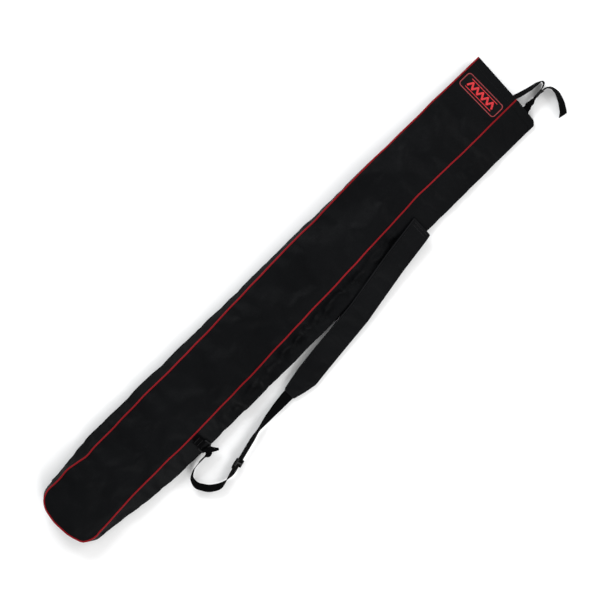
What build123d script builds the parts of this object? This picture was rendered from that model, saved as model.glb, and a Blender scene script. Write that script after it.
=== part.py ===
from build123d import *
from math import cos, radians, sin, tan
import os

# A long padded-strap ski bag lying on its back panel. Millimetres. +X runs to the open mouth,
# -Y is the side that carries the shoulder strap, +Z is up. Origin: middle of the back panel's underside.

# ---------------------------------------------------------------- driving dimensions
BAG_LENGTH = 1700.0
MOUTH_X = BAG_LENGTH / 2
BODY_HEIGHT = 50.0          # lying height of the body
MOUTH_HEIGHT = 30.0         # lying height at the mouth
FULL_HEIGHT_X = 440.0       # from here to the closed end the body has its full height
END_START_X = -770.0        # the side panels stop here and the rounded end begins
END_HALF_WIDTH = 88.0       # half the panel width at the closed end
END_FLAT_HALF = 44.0        # half of the straight edge that closes the end
END_CORNER_X = -800.0       # where the end's slanting corner leaves the side
END_CORNER_RADIUS = 38.0

FABRIC = 1.2                # face cloth, coating and lining together
PIPING_D = 3.6
SEAM_GAP = 0.4              # between a panel's edge and the piping
BINDING_DEPTH = 5.0         # seam allowance tape inside each long seam
BINDING_THICK = 0.9
HEM_WIDTH = 24.0
HEM_THICK = 1.0

WEBBING_W = 25.0
WEBBING_T = 1.6
WEBBING_MID_Z = 17.0        # height of the middle of webbing that lies on its edge

PATCH_SIZE = (44.0, 131.0)  # along the bag, across the bag
PATCH_CENTRE = (795.0, 40.0)
PATCH_RADIUS = 11.0
PATCH_THICK = 0.9
EMBLEM_HEIGHT = 24.0
EMBLEM_SPAN = 96.0
EMBLEM_STROKE = 6.0

PAD_THICK = 7.0
PAD_SKIN = 1.0
PAD_BINDING = 2.4
PAD_GAP = 0.15

HINGE_TOP = (424.0, -70.0, 49.0)    # the strap turns about the line from here
HINGE_RING = (-408.0, -112.0, 39.0)  # to the bar of the ring
RING_SPAN = 27.0            # clear width inside the ring
RING_REACH = 20.0           # from the hinge bar to the bar that carries the webbing
RING_WIRE = 4.0
RING_DROP = 28.0            # degrees that the ring leans down from level

CLOSURE_TOP = MOUTH_HEIGHT - 1.0

# Cross-sections from mouth to end. For each place along X: Y of the two front seams (left, right),
# Y and Z of the two side folds (left, right), Y of the two back seams (left, right).
SECTIONS = {
    850.0: (118.0, -36.0, (114.0, 15.0), (-120.0, 9.0), 44.0, -110.0),
    440.0: (118.0, -38.0, (122.0, 24.0), (-126.0, 14.0), 50.0, -110.0),
    80.0: (107.0, -58.0, (124.0, 26.0), (-127.0, 18.0), 62.0, -104.0),
    -310.0: (93.0, -75.0, (123.0, 26.0), (-133.0, 22.0), 76.0, -92.0),
    -560.0: (88.0, -80.0, (124.0, 25.0), (-129.0, 24.0), 84.0, -84.0),
    -630.0: (88.0, -82.0, (123.0, 25.0), (-122.0, 24.0), 85.0, -85.0),
    -770.0: (88.0, -88.0, (101.0, 25.0), (-101.0, 25.0), 88.0, -88.0),
}

SPANS = (-770.0, -310.0, 440.0, 850.0)  # cloth panels are built in these lengths, which meet end to end

# Shoulder pad: for each X the inner edge (Y, Z) and the outer edge (Y, Z) of its middle layer.
PAD_SECTIONS = {
    424.0: ((-76.0, 43.5), (-135.0, 31.0)),
    309.0: ((-92.0, 39.0), (-154.0, 20.0)),
    146.0: ((-122.0, 27.0), (-183.0, 10.5)),
    -16.0: ((-140.0, 18.0), (-203.0, 7.0)),
    -80.0: ((-148.0, 15.5), (-211.0, 6.5)),
    -146.0: ((-161.0, 14.0), (-196.0, 8.0)),
}

# Plan route of the shoulder webbing that lies on its edge, from the twist to the ring.
STRAP_ROUTE = [(-285, -193), (-410, -226.5), (-449, -229), (-481, -212), (-502, -180), (-490, -152),
               (-462, -140), (-432, -140.5), (-404, -142)]
SLIDER_X = -374.0

# Plan routes of the closing strap at the mouth.
LEFT_ARM = [(853, -26), (900, -43), (931, -49), (940, -56), (928, -63), (904.5, -64.8)]
RIGHT_ARM = [(853, -74), (868, -70.5), (882, -68.6), (897, -67.6)]
TAIL = [(904.5, -69.2), (926, -67.5), (944, -68.5), (954, -80), (955, -100), (943, -126), (926, -150),
        (905, -163)]
LOCK_CENTRE = (911.0, -66.5)
LOCK_LEG = 2.2              # how far each run of webbing passes from the middle of the lock's bars


# ---------------------------------------------------------------- plane geometry helpers
def offset_line(points, distance):
    """Shift an open chain of plane points sideways to its left by distance, with mitred corners."""
    vectors = [Vector(*p) for p in points]
    ways = [(b - a).normalized() for a, b in zip(vectors, vectors[1:])]
    normals = [Vector(-w.Y, w.X) for w in ways]
    normals = [normals[0]] + normals + [normals[-1]]
    shifted = []
    for point, before, after in zip(vectors, normals, normals[1:]):
        middle = before + after
        shifted.append(point + middle * (2 * distance / middle.length**2))
    return [(v.X, v.Y) for v in shifted]


def shortened(points, start, end):
    """Pull the two ends of a chain of plane points in along their own runs."""
    first = Vector(*points[0]) + (Vector(*points[1]) - Vector(*points[0])).normalized() * start
    last = Vector(*points[-1]) + (Vector(*points[-2]) - Vector(*points[-1])).normalized() * end
    return [(first.X, first.Y)] + list(points[1:-1]) + [(last.X, last.Y)]


def strip(points, thickness):
    """Closed outline of a strip of cloth whose middle line is the chain of points."""
    half = thickness / 2
    return offset_line(points, half) + offset_line(points, -half)[::-1]


def between(table, x):
    """Values of a table of cross-sections at x, straight between its stations."""
    stations = sorted(table)
    low = max([s for s in stations if s <= x] or stations[:1])
    high = min([s for s in stations if s > x] or stations[-1:])
    share = 0.0 if high == low else (x - low) / (high - low)

    def mix(a, b):
        if isinstance(a, tuple):
            return tuple(mix(m, n) for m, n in zip(a, b))
        return a + (b - a) * share

    return mix(table[low], table[high])


def at_x(x, outline):
    """Closed wire of a (Y, Z) outline standing at x."""
    return Wire.make_polygon([(x, y, z) for y, z in outline], close=True)


def loft_along(stations, outline_at):
    """Straight-sided solid through the outlines that outline_at gives at each station."""
    return Solid.make_loft([at_x(x, outline_at(x)) for x in sorted(stations)], ruled=True)


def spans_along(outline_at):
    """The cloth between each pair of SPANS as its own solid, so that every one of them is nearly convex."""
    solids = []
    for low, high in zip(SPANS, SPANS[1:]):
        own = [low] + [s for s in sorted(SECTIONS) if low < s < high] + [high]
        middles = [(a + b) / 2 for a, b in zip(own, own[1:])]
        solids.append(loft_along(own + middles, outline_at))
    return solids


def arc_radii(points):
    """For each corner of a route, the largest radius that its two runs allow."""
    vectors = [Vector(*p) for p in points]
    radii = []
    for before, corner, after in zip(vectors, vectors[1:], vectors[2:]):
        turn = (corner - before).get_angle(after - corner)
        run = min((corner - before).length, (after - corner).length)
        radii.append(0.45 * run / tan(radians(turn / 2)))
    return radii


def edge_ribbon(route, width=WEBBING_W, thickness=WEBBING_T, middle=WEBBING_MID_Z):
    """Webbing standing on its edge along a plan route of straight runs and tangent arcs."""
    points = [(x, y, middle) for x, y in route]
    path = FilletPolyline(*points, radius=arc_radii(points))
    section = Plane(origin=path @ 0, x_dir=(0, 0, 1), z_dir=path % 0) * Rectangle(width, thickness)
    return sweep(section, path=path)


# ---------------------------------------------------------------- the bag's seams
def seam_height(x):
    """Height of the front seam's cord centre."""
    share = max(0.0, (x - FULL_HEIGHT_X) / (MOUTH_X - FULL_HEIGHT_X))
    return BODY_HEIGHT + (MOUTH_HEIGHT - BODY_HEIGHT) * share - PIPING_D / 2


def corners(x):
    """The six corners of the bag's section: front left, side left, back left, and the same right."""
    front_left, front_right, side_left, side_right, back_left, back_right = between(SECTIONS, x)
    top, low = seam_height(x), PIPING_D / 2
    return ((front_left, top), side_left, (back_left, low),
            (front_right, top), side_right, (back_right, low))


def end_outline(offset=0.0):
    """Plan route of the seam round the closed end, right side to left, shifted outwards by offset."""
    half, flat = END_HALF_WIDTH, END_FLAT_HALF
    route = [(END_START_X, -half), (END_CORNER_X, -half), (-MOUTH_X + 2, -flat),
             (-MOUTH_X + 2, flat), (END_CORNER_X, half), (END_START_X, half)]
    return offset_line(route, offset)


def end_path(offset, height):
    """Smooth path round the closed end at one height."""
    points = [(x, y, height) for x, y in end_outline(offset)]
    return FilletPolyline(*points, radius=END_CORNER_RADIUS + offset)


def end_plate(inset, bottom, thickness):
    """Flat rounded end of a panel."""
    path = end_path(-inset, bottom)
    closing = Line(path @ 1, path @ 0)
    return extrude(make_face(path.edges() + closing.edges()), amount=thickness)


EDGE_INSET = PIPING_D / 2 + SEAM_GAP


# ---------------------------------------------------------------- bag panels
def front_panel():
    def outline(x):
        left, _, _, right, _, _ = corners(x)
        return strip(shortened([right, left], EDGE_INSET, EDGE_INSET), FABRIC)

    level = seam_height(END_START_X) - FABRIC / 2
    spans = spans_along(outline)
    return Compound([spans[0] + end_plate(EDGE_INSET, level, FABRIC)] + spans[1:])


def back_panel():
    def outline(x):
        _, _, left, _, _, right = corners(x)
        inner_left, inner_right = left[0] - EDGE_INSET, right[0] + EDGE_INSET
        return [(inner_right, 0), (inner_left, 0), (inner_left, FABRIC), (inner_right, FABRIC)]

    return loft_along(SECTIONS, outline) + end_plate(EDGE_INSET, 0, FABRIC)


def side_gusset(right):
    """Side panel folded lengthwise: an upper and a lower leaf that meet along the fold."""
    def leaf(first):
        def outline(x):
            chain = corners(x)[3:] if right else corners(x)[:3]
            chain = shortened(chain, EDGE_INSET, EDGE_INSET)
            outer, inner = offset_line(chain, FABRIC / 2), offset_line(chain, -FABRIC / 2)
            return outer[first:first + 2] + inner[first:first + 2][::-1]
        return outline

    return Compound(spans_along(leaf(0)) + spans_along(leaf(1)))


def base_gusset():
    bottom = PIPING_D + SEAM_GAP
    top = seam_height(END_START_X) - PIPING_D / 2 - SEAM_GAP
    outer, inner = end_path(FABRIC, bottom), end_path(-FABRIC, bottom)
    ends = [Line(outer @ 0, inner @ 0), Line(outer @ 1, inner @ 1)]
    band = make_face(outer.edges() + inner.edges() + ends[0].edges() + ends[1].edges())
    trim = Pos(END_START_X, 0, 0) * Box(2 * SEAM_GAP, 4 * END_HALF_WIDTH, 3 * BODY_HEIGHT)
    return extrude(band, amount=top - bottom) - trim


def piping(front):
    """Round cord sewn into both long seams of one panel and round its closed end."""
    def side(index):
        def circle(x):
            y, z = corners(x)[index]
            return Plane(origin=(x, y, z), z_dir=(1, 0, 0)) * Circle(PIPING_D / 2)
        return Solid.make_loft([circle(x).wire() for x in sorted(SECTIONS)], ruled=True)

    height = seam_height(END_START_X) if front else PIPING_D / 2
    path = end_path(0, height)
    section = Plane(origin=path @ 0, z_dir=path % 0) * Circle(PIPING_D / 2)
    left, right = (0, 3) if front else (2, 5)
    return Part() + [side(left), side(right), sweep(section, path=path)]


def mouth_hem():
    """Folded tape sewn round the inside of the mouth's edge."""
    def ring(x, inset):
        top_left, side_left, low_left, top_right, side_right, low_right = corners(x)
        depth = inset + PIPING_D / 2
        run = 6 * depth
        return [(top_right[0], top_right[1] - depth), (side_right[0] + run, side_right[1] + depth * 0.6),
                (low_right[0] + run, low_right[1] + depth), (low_left[0] - depth, low_left[1] + depth),
                (side_left[0] - run, side_left[1]), (top_left[0] - run, top_left[1] - depth)]

    stations = (MOUTH_X - HEM_WIDTH, MOUTH_X - 0.5)
    outer = loft_along(stations, lambda x: ring(x, SEAM_GAP))
    wider = (stations[0] - 1, stations[1] + 1)
    return outer - loft_along(wider, lambda x: ring(x, SEAM_GAP + HEM_THICK))


def seam_bindings():
    """Tape over the raw edges inside each of the four long seams."""
    leans = {0: (-0.75, -0.66), 3: (0.3, -0.95), 2: (-0.2, 0.98), 5: (0.75, 0.66)}
    tapes = []
    for index, lean in leans.items():
        def outline(x, index=index, lean=lean):
            y, z = corners(x)[index]
            start = PIPING_D / 2 + 2 * SEAM_GAP
            near = (y + lean[0] * start, z + lean[1] * start)
            far = (near[0] + lean[0] * BINDING_DEPTH, near[1] + lean[1] * BINDING_DEPTH)
            return strip([near, far], BINDING_THICK)
        stations = [x for x in SECTIONS if x < MOUTH_X] + [MOUTH_X - HEM_WIDTH - 6]
        tapes.append(loft_along(stations, outline))
    return Compound(tapes)


# ---------------------------------------------------------------- patch at the mouth
def patch_plane():
    """Plane on top of the front panel at the patch, with X to the mouth."""
    x, y = PATCH_CENTRE
    slope = (MOUTH_HEIGHT - BODY_HEIGHT) / (MOUTH_X - FULL_HEIGHT_X)
    return Plane(origin=(x, y, seam_height(x) + FABRIC / 2 + 0.1), x_dir=(1, 0, slope), z_dir=(-slope, 0, 1))


def logo_patch():
    border = 2.6
    size = (PATCH_SIZE[0] - 2 * border, PATCH_SIZE[1] - 2 * border)
    return patch_plane() * extrude(RectangleRounded(*size, PATCH_RADIUS - border), amount=PATCH_THICK)


def patch_border():
    width = 2.5
    outer = RectangleRounded(*PATCH_SIZE, PATCH_RADIUS)
    inner = RectangleRounded(PATCH_SIZE[0] - 2 * width, PATCH_SIZE[1] - 2 * width, PATCH_RADIUS - width)
    return patch_plane() * extrude(outer - inner, amount=PATCH_THICK + 0.5)


def patch_emblem():
    """Plain mountain ridge: one zigzag stroke of five peaks."""
    peaks = 5
    step = EMBLEM_SPAN / (2 * peaks)
    rise = EMBLEM_HEIGHT / 2 - EMBLEM_STROKE / 2
    ridge = [((-1) ** (i + 1) * rise, -EMBLEM_SPAN / 2 + i * step) for i in range(2 * peaks + 1)]
    outline = strip(ridge, EMBLEM_STROKE * 0.62)
    face = make_face(Polyline(*outline, close=True))
    return patch_plane() * Pos(0, 0, PATCH_THICK + 0.05) * extrude(face, amount=0.7)


# ---------------------------------------------------------------- strap fixings on the right gusset
def gusset_skin(x, share, lift):
    """A point above the right gusset's upper leaf: share 0 at the front seam, 1 at the side fold."""
    _, _, _, seam, fold, _ = corners(x)
    along = Vector(fold[0] - seam[0], fold[1] - seam[1])
    normal = Vector(along.Y, -along.X).normalized()
    point = Vector(*seam) + along * share + normal * lift
    return (point.X, point.Y)


def gusset_patch(x_from, x_to, share_from, share_to, thickness, lift=0.15):
    """Thin piece sewn flat on the right gusset's upper leaf."""
    base = FABRIC / 2 + lift

    def outline(x):
        return [gusset_skin(x, share_from, base), gusset_skin(x, share_to, base),
                gusset_skin(x, share_to, base + thickness), gusset_skin(x, share_from, base + thickness)]

    return loft_along((x_from, x_to), outline)


def strap_anchor_patch():
    """Doubled fabric under the sewn end of the shoulder pad."""
    return gusset_patch(392.0, 440.0, 0.28, 0.95, FABRIC)


def ring_anchor_patch():
    """Doubled fabric under the ring's tab."""
    return gusset_patch(-432.0, -384.0, 0.06, 0.8, FABRIC)


def hinge_direction():
    return (Vector(*HINGE_TOP) - Vector(*HINGE_RING)).normalized()


def ring_plane(lean):
    """Plane at the ring's bar: X along the bar, Y out from the bag and leaning down by lean degrees."""
    along = hinge_direction()
    side = Vector(0, 0, 1).cross(along).normalized()
    up = along.cross(side)
    out = side * (-cos(radians(lean))) + up * (-sin(radians(lean)))
    return Plane(origin=HINGE_RING, x_dir=along, z_dir=along.cross(out))


def ring_anchor_tab():
    """Short webbing folded round the ring's bar and sewn down on the gusset."""
    inner, outer = RING_WIRE / 2 + 0.5, RING_WIRE / 2 + 0.5 + WEBBING_T
    plane = ring_plane(0)
    across = Plane(origin=plane.origin, x_dir=plane.y_dir, z_dir=plane.x_dir)
    eye = Circle(outer) - Circle(inner)
    lean = 29.0
    leg = Rot(0, 0, 180 + lean) * Pos(14.5, 2.6) * Rectangle(23, 2 * WEBBING_T)
    profile = (eye + leg) - Circle(inner)
    return across * extrude(profile, amount=WEBBING_W / 2, both=True)


# ---------------------------------------------------------------- shoulder strap
def pad_outline(inset, low, high):
    """Outline function of one layer of the pad, inset from its long edges."""
    def outline(x):
        inner, outer = between(PAD_SECTIONS, x)
        chain = shortened([outer, inner], inset, inset)
        return offset_line(chain, high) + offset_line(chain, low)[::-1]
    return outline


def pad_layer(inset, low, high):
    stations = sorted(PAD_SECTIONS)
    ends = [stations[0] + inset] + stations[1:-1] + [stations[-1] - inset]
    return loft_along(ends, pad_outline(inset, low, high))


def shoulder_pad_face():
    top = PAD_THICK / 2
    return pad_layer(PAD_BINDING, top - PAD_SKIN, top)


def shoulder_pad_foam():
    reach = PAD_THICK / 2 - PAD_SKIN - PAD_GAP
    return pad_layer(PAD_BINDING, -reach, reach)


def shoulder_pad_backing():
    top = PAD_THICK / 2
    return pad_layer(PAD_BINDING, -top, PAD_SKIN - top)


def shoulder_pad_binding():
    """Bound edge all round the pad."""
    half = PAD_THICK / 2
    whole = pad_layer(0, -half, half)
    return whole - pad_layer(PAD_BINDING - PAD_GAP, -2 * half, 2 * half)


def shoulder_webbing():
    """Webbing from the pad's tapered end: flat at first, then turned on its edge and round to the ring."""
    start, turned = -148.0, STRAP_ROUTE[0][0]
    flat_y, flat_z = -178.5, 11.0
    steps = 6

    def outline(x):
        share = (start - x) / (start - turned)
        angle = radians(-90 * share)
        y = flat_y + (STRAP_ROUTE[0][1] - flat_y) * share**1.5
        z = flat_z + (WEBBING_MID_Z - flat_z) * share
        half = WEBBING_W / 2
        chain = [(y - half * cos(angle), z - half * sin(angle)), (y + half * cos(angle), z + half * sin(angle))]
        return strip(chain, WEBBING_T)

    twist = loft_along([turned + (start - turned) * i / steps for i in range(steps + 1)], outline)
    return Part() + [twist, edge_ribbon(STRAP_ROUTE), ring_wrap()]


def ring_wrap():
    """The webbing's end where it passes round the ring's outer bar."""
    plane = ring_plane(RING_DROP)
    inner, outer = RING_WIRE / 2 + 0.1, RING_WIRE / 2 + 0.1 + WEBBING_T
    across = Plane(origin=plane.origin + plane.y_dir * RING_REACH, x_dir=plane.y_dir, z_dir=plane.x_dir)
    eye = Circle(outer) - Circle(inner)
    leg = Pos(7.5, 0) * Rectangle(10, 2 * outer)
    profile = (eye + leg) - Circle(inner)
    return across * extrude(profile, amount=WEBBING_W / 2, both=True)


def anchor_ring():
    """Rectangular wire ring: one bar in the tab, the other in the webbing."""
    plane = ring_plane(RING_DROP)
    half = RING_SPAN / 2 + RING_WIRE / 2
    route = [(half, 0), (half, RING_REACH), (-half, RING_REACH), (-half, 0)]
    path = plane * FilletPolyline(*route, radius=3.5, close=True)
    start = path @ 0.5
    section = Plane(origin=start, z_dir=path % 0.5) * Circle(RING_WIRE / 2)
    return sweep(section, path=path)


def run_plane(route, x):
    """Plane on the first straight run of a route at x: X along the run, Y up, Z across the webbing."""
    a, b = Vector(*route[0]), Vector(*route[1])
    along = (b - a).normalized()
    y = a.Y + (x - a.X) * along.Y / along.X
    return Plane(origin=(x, y, WEBBING_MID_Z), x_dir=(along.X, along.Y, 0), z_dir=(along.Y, -along.X, 0))


def strap_slider():
    """Three-bar slider. The webbing runs straight through between the outer bars and the middle bar."""
    half_window = WEBBING_W / 2 + 0.7
    rail = 3.0
    frame = [Pos(0, s * (half_window + rail / 2), -0.7) * Box(22, rail, 7.6) for s in (-1, 1)]
    outer = [Pos(s * 9.4, 0, 2.1) * Box(3.2, 2 * half_window + 1, 2.0) for s in (-1, 1)]
    middle = Pos(0, 0, -3.5) * Box(3.6, 2 * half_window + 1, 2.0)
    body = Part() + frame + outer + [middle]
    upright = body.edges().filter_by(Axis.Z).group_by(Axis.X)
    body = fillet(upright[0] + upright[-1], 1.4)
    return run_plane(STRAP_ROUTE, SLIDER_X) * body


def strap_end_loop():
    """Sewn end of the webbing folded round the slider's middle bar."""
    legs = [Pos(9.5, z) * Rectangle(19, 1.2) for z in (-1.75, -5.25)]
    fold = Pos(-2.7, -3.5) * Rectangle(1.2, 4.7)
    stitched = Pos(19.5, -3.5) * Rectangle(3.0, 4.7)
    profile = Sketch() + legs + [Pos(-1.2, z) * Rectangle(3.4, 1.2) for z in (-1.75, -5.25)] + [fold, stitched]
    plane = run_plane(STRAP_ROUTE, SLIDER_X)
    side = Plane(origin=plane.origin, x_dir=plane.x_dir, z_dir=-plane.y_dir)
    return side * extrude(profile, amount=WEBBING_W / 2, both=True)


# ---------------------------------------------------------------- closing strap at the mouth
CLOSURE_MID = CLOSURE_TOP - WEBBING_W / 2 - 0.5


def lock_plane():
    """Plane in the middle of the lock: X towards the tail, Y up, Z across the bars."""
    a, b = Vector(*LEFT_ARM[-1]), Vector(*LEFT_ARM[-2])
    along = (b - a).normalized()
    x, y = LOCK_CENTRE
    return Plane(origin=(x, y, CLOSURE_MID), x_dir=(along.X, along.Y, 0), z_dir=(along.Y, -along.X, 0))


def webbing_fold(place, size):
    """Block of folded webbing, as tall as the webbing is wide, at a place in the lock's plane."""
    return lock_plane() * Pos(place[0], 0, place[1]) * Box(size[0], WEBBING_W, size[1])


def closure_strap():
    """Long webbing: up from the hem, round the turn and round the lock's middle bar."""
    reach = LOCK_LEG + WEBBING_T / 2
    fold = webbing_fold((-6.4, -0.8), (WEBBING_T, 2 * reach - WEBBING_T - 0.1))
    return edge_ribbon(LEFT_ARM, middle=CLOSURE_MID) + fold


def closure_short_strap():
    """Short webbing that holds the ladder lock, folded round its sewn bar."""
    loop = webbing_fold((-11.0, 0), (6.6, 5.8)) - webbing_fold((-11.0, 0), (3.4, 2.8))
    return edge_ribbon(RIGHT_ARM, middle=CLOSURE_MID) + loop


def closure_tail():
    """Free end of the long webbing beyond the ladder lock, cut at a slant."""
    tail = edge_ribbon(TAIL, middle=CLOSURE_MID)
    x, y = TAIL[-1]
    cutter = Pos(x - 2, y - 1, CLOSURE_MID + WEBBING_W / 2) * Rot(0, 35, 0) * Box(30, 30, 14)
    return tail - cutter


def ladder_lock():
    """Ladder-lock buckle standing on its edge: two rails, three bars and a lifting lip."""
    half_window, rail, depth = WEBBING_W / 2 + 0.6, 3.2, 6.6
    rails = [Pos(0, side * (half_window + rail / 2), 0) * Box(25, rail, depth) for side in (-1, 1)]
    bars = [Pos(x, 0, 0) * Box(3.0, 2 * half_window + 1, 2.4) for x in (-11.0, -3.0, 7.0)]
    lip = Pos(12.0, 0, 4.6) * Box(2.4, 2 * (half_window + rail), 2.0)
    posts = [Pos(11.6, side * (half_window + rail / 2), 3.2) * Box(1.6, rail, 3.0) for side in (-1, 1)]
    return lock_plane() * (Part() + rails + bars + posts + [lip])


# ---------------------------------------------------------------- stitching that reads as pieces
def bar_tacks():
    """Dense stitch bars that hold the ring's tab and the pad's end to the gusset."""
    tab = [gusset_patch(x, x + 2.0, 0.14, 0.36, 0.6, lift=5.0) for x in (-418.0, -399.0)]
    pad = [gusset_patch(x, x + 2.0, 0.30, 0.90, 0.6, lift=1.5) for x in (431.0, 436.0)]
    return Compound(tab + pad)


PARTS = {
    "front_panel": front_panel,
    "back_panel": back_panel,
    "right_gusset": lambda: side_gusset(True),
    "left_gusset": lambda: side_gusset(False),
    "base_gusset": base_gusset,
    "front_piping": lambda: piping(True),
    "back_piping": lambda: piping(False),
    "mouth_hem": mouth_hem,
    "seam_bindings": seam_bindings,
    "logo_patch": logo_patch,
    "patch_border": patch_border,
    "patch_emblem": patch_emblem,
    "strap_anchor_patch": strap_anchor_patch,
    "ring_anchor_patch": ring_anchor_patch,
    "ring_anchor_tab": ring_anchor_tab,
    "bar_tacks": bar_tacks,
    "shoulder_pad_face": shoulder_pad_face,
    "shoulder_pad_foam": shoulder_pad_foam,
    "shoulder_pad_backing": shoulder_pad_backing,
    "shoulder_pad_binding": shoulder_pad_binding,
    "shoulder_webbing": shoulder_webbing,
    "anchor_ring": anchor_ring,
    "strap_slider": strap_slider,
    "strap_end_loop": strap_end_loop,
    "closure_strap": closure_strap,
    "closure_short_strap": closure_short_strap,
    "closure_tail": closure_tail,
    "ladder_lock": ladder_lock,
}

os.makedirs("parts", exist_ok=True)
for name, make in PARTS.items():
    export_step(make(), f"parts/{name}.step")
    print("made", name)
for label, route in (("shoulder strap", STRAP_ROUTE), ("left arm", LEFT_ARM), ("tail", TAIL)):
    print(label, "radii", [round(r) for r in arc_radii(route)])
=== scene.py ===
import math

import bmesh
import bpy
import numpy as np
from mathutils import Matrix, Vector


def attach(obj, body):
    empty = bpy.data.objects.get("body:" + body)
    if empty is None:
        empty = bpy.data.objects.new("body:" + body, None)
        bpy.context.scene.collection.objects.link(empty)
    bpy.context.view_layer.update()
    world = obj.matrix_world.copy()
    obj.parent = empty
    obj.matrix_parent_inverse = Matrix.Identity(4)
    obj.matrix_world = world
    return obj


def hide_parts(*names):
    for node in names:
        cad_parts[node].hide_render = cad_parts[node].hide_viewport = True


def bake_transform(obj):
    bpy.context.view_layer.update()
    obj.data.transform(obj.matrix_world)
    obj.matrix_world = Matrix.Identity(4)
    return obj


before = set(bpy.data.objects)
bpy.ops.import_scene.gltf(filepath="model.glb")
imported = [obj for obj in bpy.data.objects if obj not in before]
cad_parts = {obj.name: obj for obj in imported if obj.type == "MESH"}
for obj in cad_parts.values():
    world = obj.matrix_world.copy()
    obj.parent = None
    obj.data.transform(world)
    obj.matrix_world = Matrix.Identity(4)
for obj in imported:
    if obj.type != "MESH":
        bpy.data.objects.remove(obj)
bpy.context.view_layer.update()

scene = bpy.context.scene

# ------------------------------------------------------------------ camera
VIEW_CENTRE = (0.055, -0.016)
VIEW_TURN = -44.2            # degrees about the vertical
VIEW_WIDTH = 1.624           # metres seen across the frame at the bag's height
LENS = 85.0
SENSOR = 36.0
camera_data = bpy.data.cameras.new("overhead_camera")
camera_data.lens, camera_data.sensor_width = LENS, SENSOR
camera = bpy.data.objects.new("overhead_camera", camera_data)
camera.location = (*VIEW_CENTRE, 0.04 + VIEW_WIDTH * LENS / SENSOR)
camera.rotation_euler = (0, 0, math.radians(VIEW_TURN))
scene.collection.objects.link(camera)
scene.camera = camera

# ------------------------------------------------------------------ sizes of the bag, metres
MOUTH_X = 0.850
END_START_X = -0.770
END_X = -0.8395
BODY_TOP, MOUTH_TOP, FULL_TOP_X = 0.0482, 0.0282, 0.440
PIPING_R = 0.0018
PIPING_COVER_R = 0.0023
FLOOR_SEAM_Z = PIPING_COVER_R
FABRIC = 0.0012
PATCH_START_X = 0.760        # from here to the mouth the hem and the patch keep the cloth smooth
SEWN_X = (-0.408, 0.416)     # the gusset is kept smooth where the ring's tab and the pad are sewn
SEWN_HALF = 0.026            # half the length of each of those two places
SOFT_FOLD = 0.08             # how far a gusset's side fold is rounded, as a share of its width
SHELL_FRAMES, PAD_FRAMES = 16, 12
SPARE, BUSY_SPARE, PAD_SPARE = 0.008, 0.045, 0.005     # share by which the cloth is cut too large

# The bag's outline from the mouth to the closed end: front seams, side folds and back seams.
STATION_X = (-0.770, -0.630, -0.560, -0.310, 0.080, 0.440, 0.850)
FRONT_LEFT = (0.0905, 0.088, 0.088, 0.093, 0.107, 0.118, 0.118)
FRONT_RIGHT = (-0.0885, -0.080, -0.079, -0.075, -0.058, -0.038, -0.036)
FOLD_LEFT_Y = (0.101, 0.123, 0.124, 0.123, 0.124, 0.122, 0.115)
FOLD_LEFT_Z = (0.025, 0.025, 0.025, 0.026, 0.026, 0.024, 0.015)
FOLD_RIGHT_Y = (-0.101, -0.122, -0.129, -0.133, -0.127, -0.126, -0.122)
FOLD_RIGHT_Z = (0.025, 0.024, 0.024, 0.022, 0.018, 0.014, 0.009)
BACK_LEFT = (0.0905, 0.085, 0.084, 0.076, 0.062, 0.050, 0.044)
BACK_RIGHT = (-0.0885, -0.085, -0.084, -0.092, -0.104, -0.110, -0.110)

MOUTH_OUT, MOUTH_SLANT = 0.0125, 0.045     # how far the mouth's left end stands out, and its slope
CORNER_Y, CORNER_CUT = -0.122, 0.010       # the mouth's corner that is cut off, and by how much
END_FOLD_Z = 0.025                         # height of the fold round the closed end
SEAM_PINCHES = ((-0.717, 0.0038, 0.022), (-0.651, -0.0050, 0.024))     # x, depth and reach, left seam

ROWS = 236                   # rows of cloth from the mouth to the closed end's start
PANEL_COLUMNS = 26
END_ROWS = 12
FINE_STEPS = 1199            # steps that a line is cut into before its corners are rounded
GUSSET_COLUMNS = 22


# ------------------------------------------------------------------ mesh helpers
def grid_faces(rows, columns, closed_columns=False, closed_rows=False):
    """Quads between neighbours of a rows x columns grid of points, numbered row by row."""
    down = rows if closed_rows else rows - 1
    over = columns if closed_columns else columns - 1
    i, j = np.meshgrid(np.arange(down), np.arange(over), indexing="ij")
    i2, j2 = (i + 1) % rows, (j + 1) % columns
    corners = [i * columns + j, i * columns + j2, i2 * columns + j2, i2 * columns + j]
    return np.stack(corners, -1).reshape(-1, 4)


def make_piece(name, points, faces, uv=None):
    """Mesh object from arrays of points and faces; uv holds one pair for each point."""
    mesh = bpy.data.meshes.new(name)
    mesh.from_pydata(np.asarray(points).reshape(-1, 3).tolist(), [], np.asarray(faces).tolist())
    if uv is not None:
        layer = mesh.uv_layers.new(name="cloth")
        corner = np.empty(len(mesh.loops), int)
        mesh.loops.foreach_get("vertex_index", corner)
        layer.data.foreach_set("uv", np.asarray(uv).reshape(-1, 2)[corner].ravel())
    mesh.polygons.foreach_set("use_smooth", [True] * len(mesh.polygons))
    mesh.update()
    piece = bpy.data.objects.new(name, mesh)
    scene.collection.objects.link(piece)
    return piece


def finish_piece(piece, body, slot, material, *nodes):
    """Material, the CAD nodes that the piece stands for, and its body, or None before a blend. slot is not
    used.
    """
    piece.data.materials.append(material)
    if body:
        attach(piece, body)
    if nodes:
        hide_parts(*nodes)
    return piece


def thicken(piece, thickness):
    """Gives a sheet its thickness, on its inner side."""
    wall = piece.modifiers.new("cloth thickness", "SOLIDIFY")
    wall.thickness = thickness
    wall.offset = -1.0
    wall.use_rim = True


def subdivide(piece, level):
    """Smooths a piece's mesh and keeps the corners of its open edges."""
    smoother = piece.modifiers.new("smooth cloth", "SUBSURF")
    smoother.levels = smoother.render_levels = level
    smoother.boundary_smooth = "PRESERVE_CORNERS"


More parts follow.
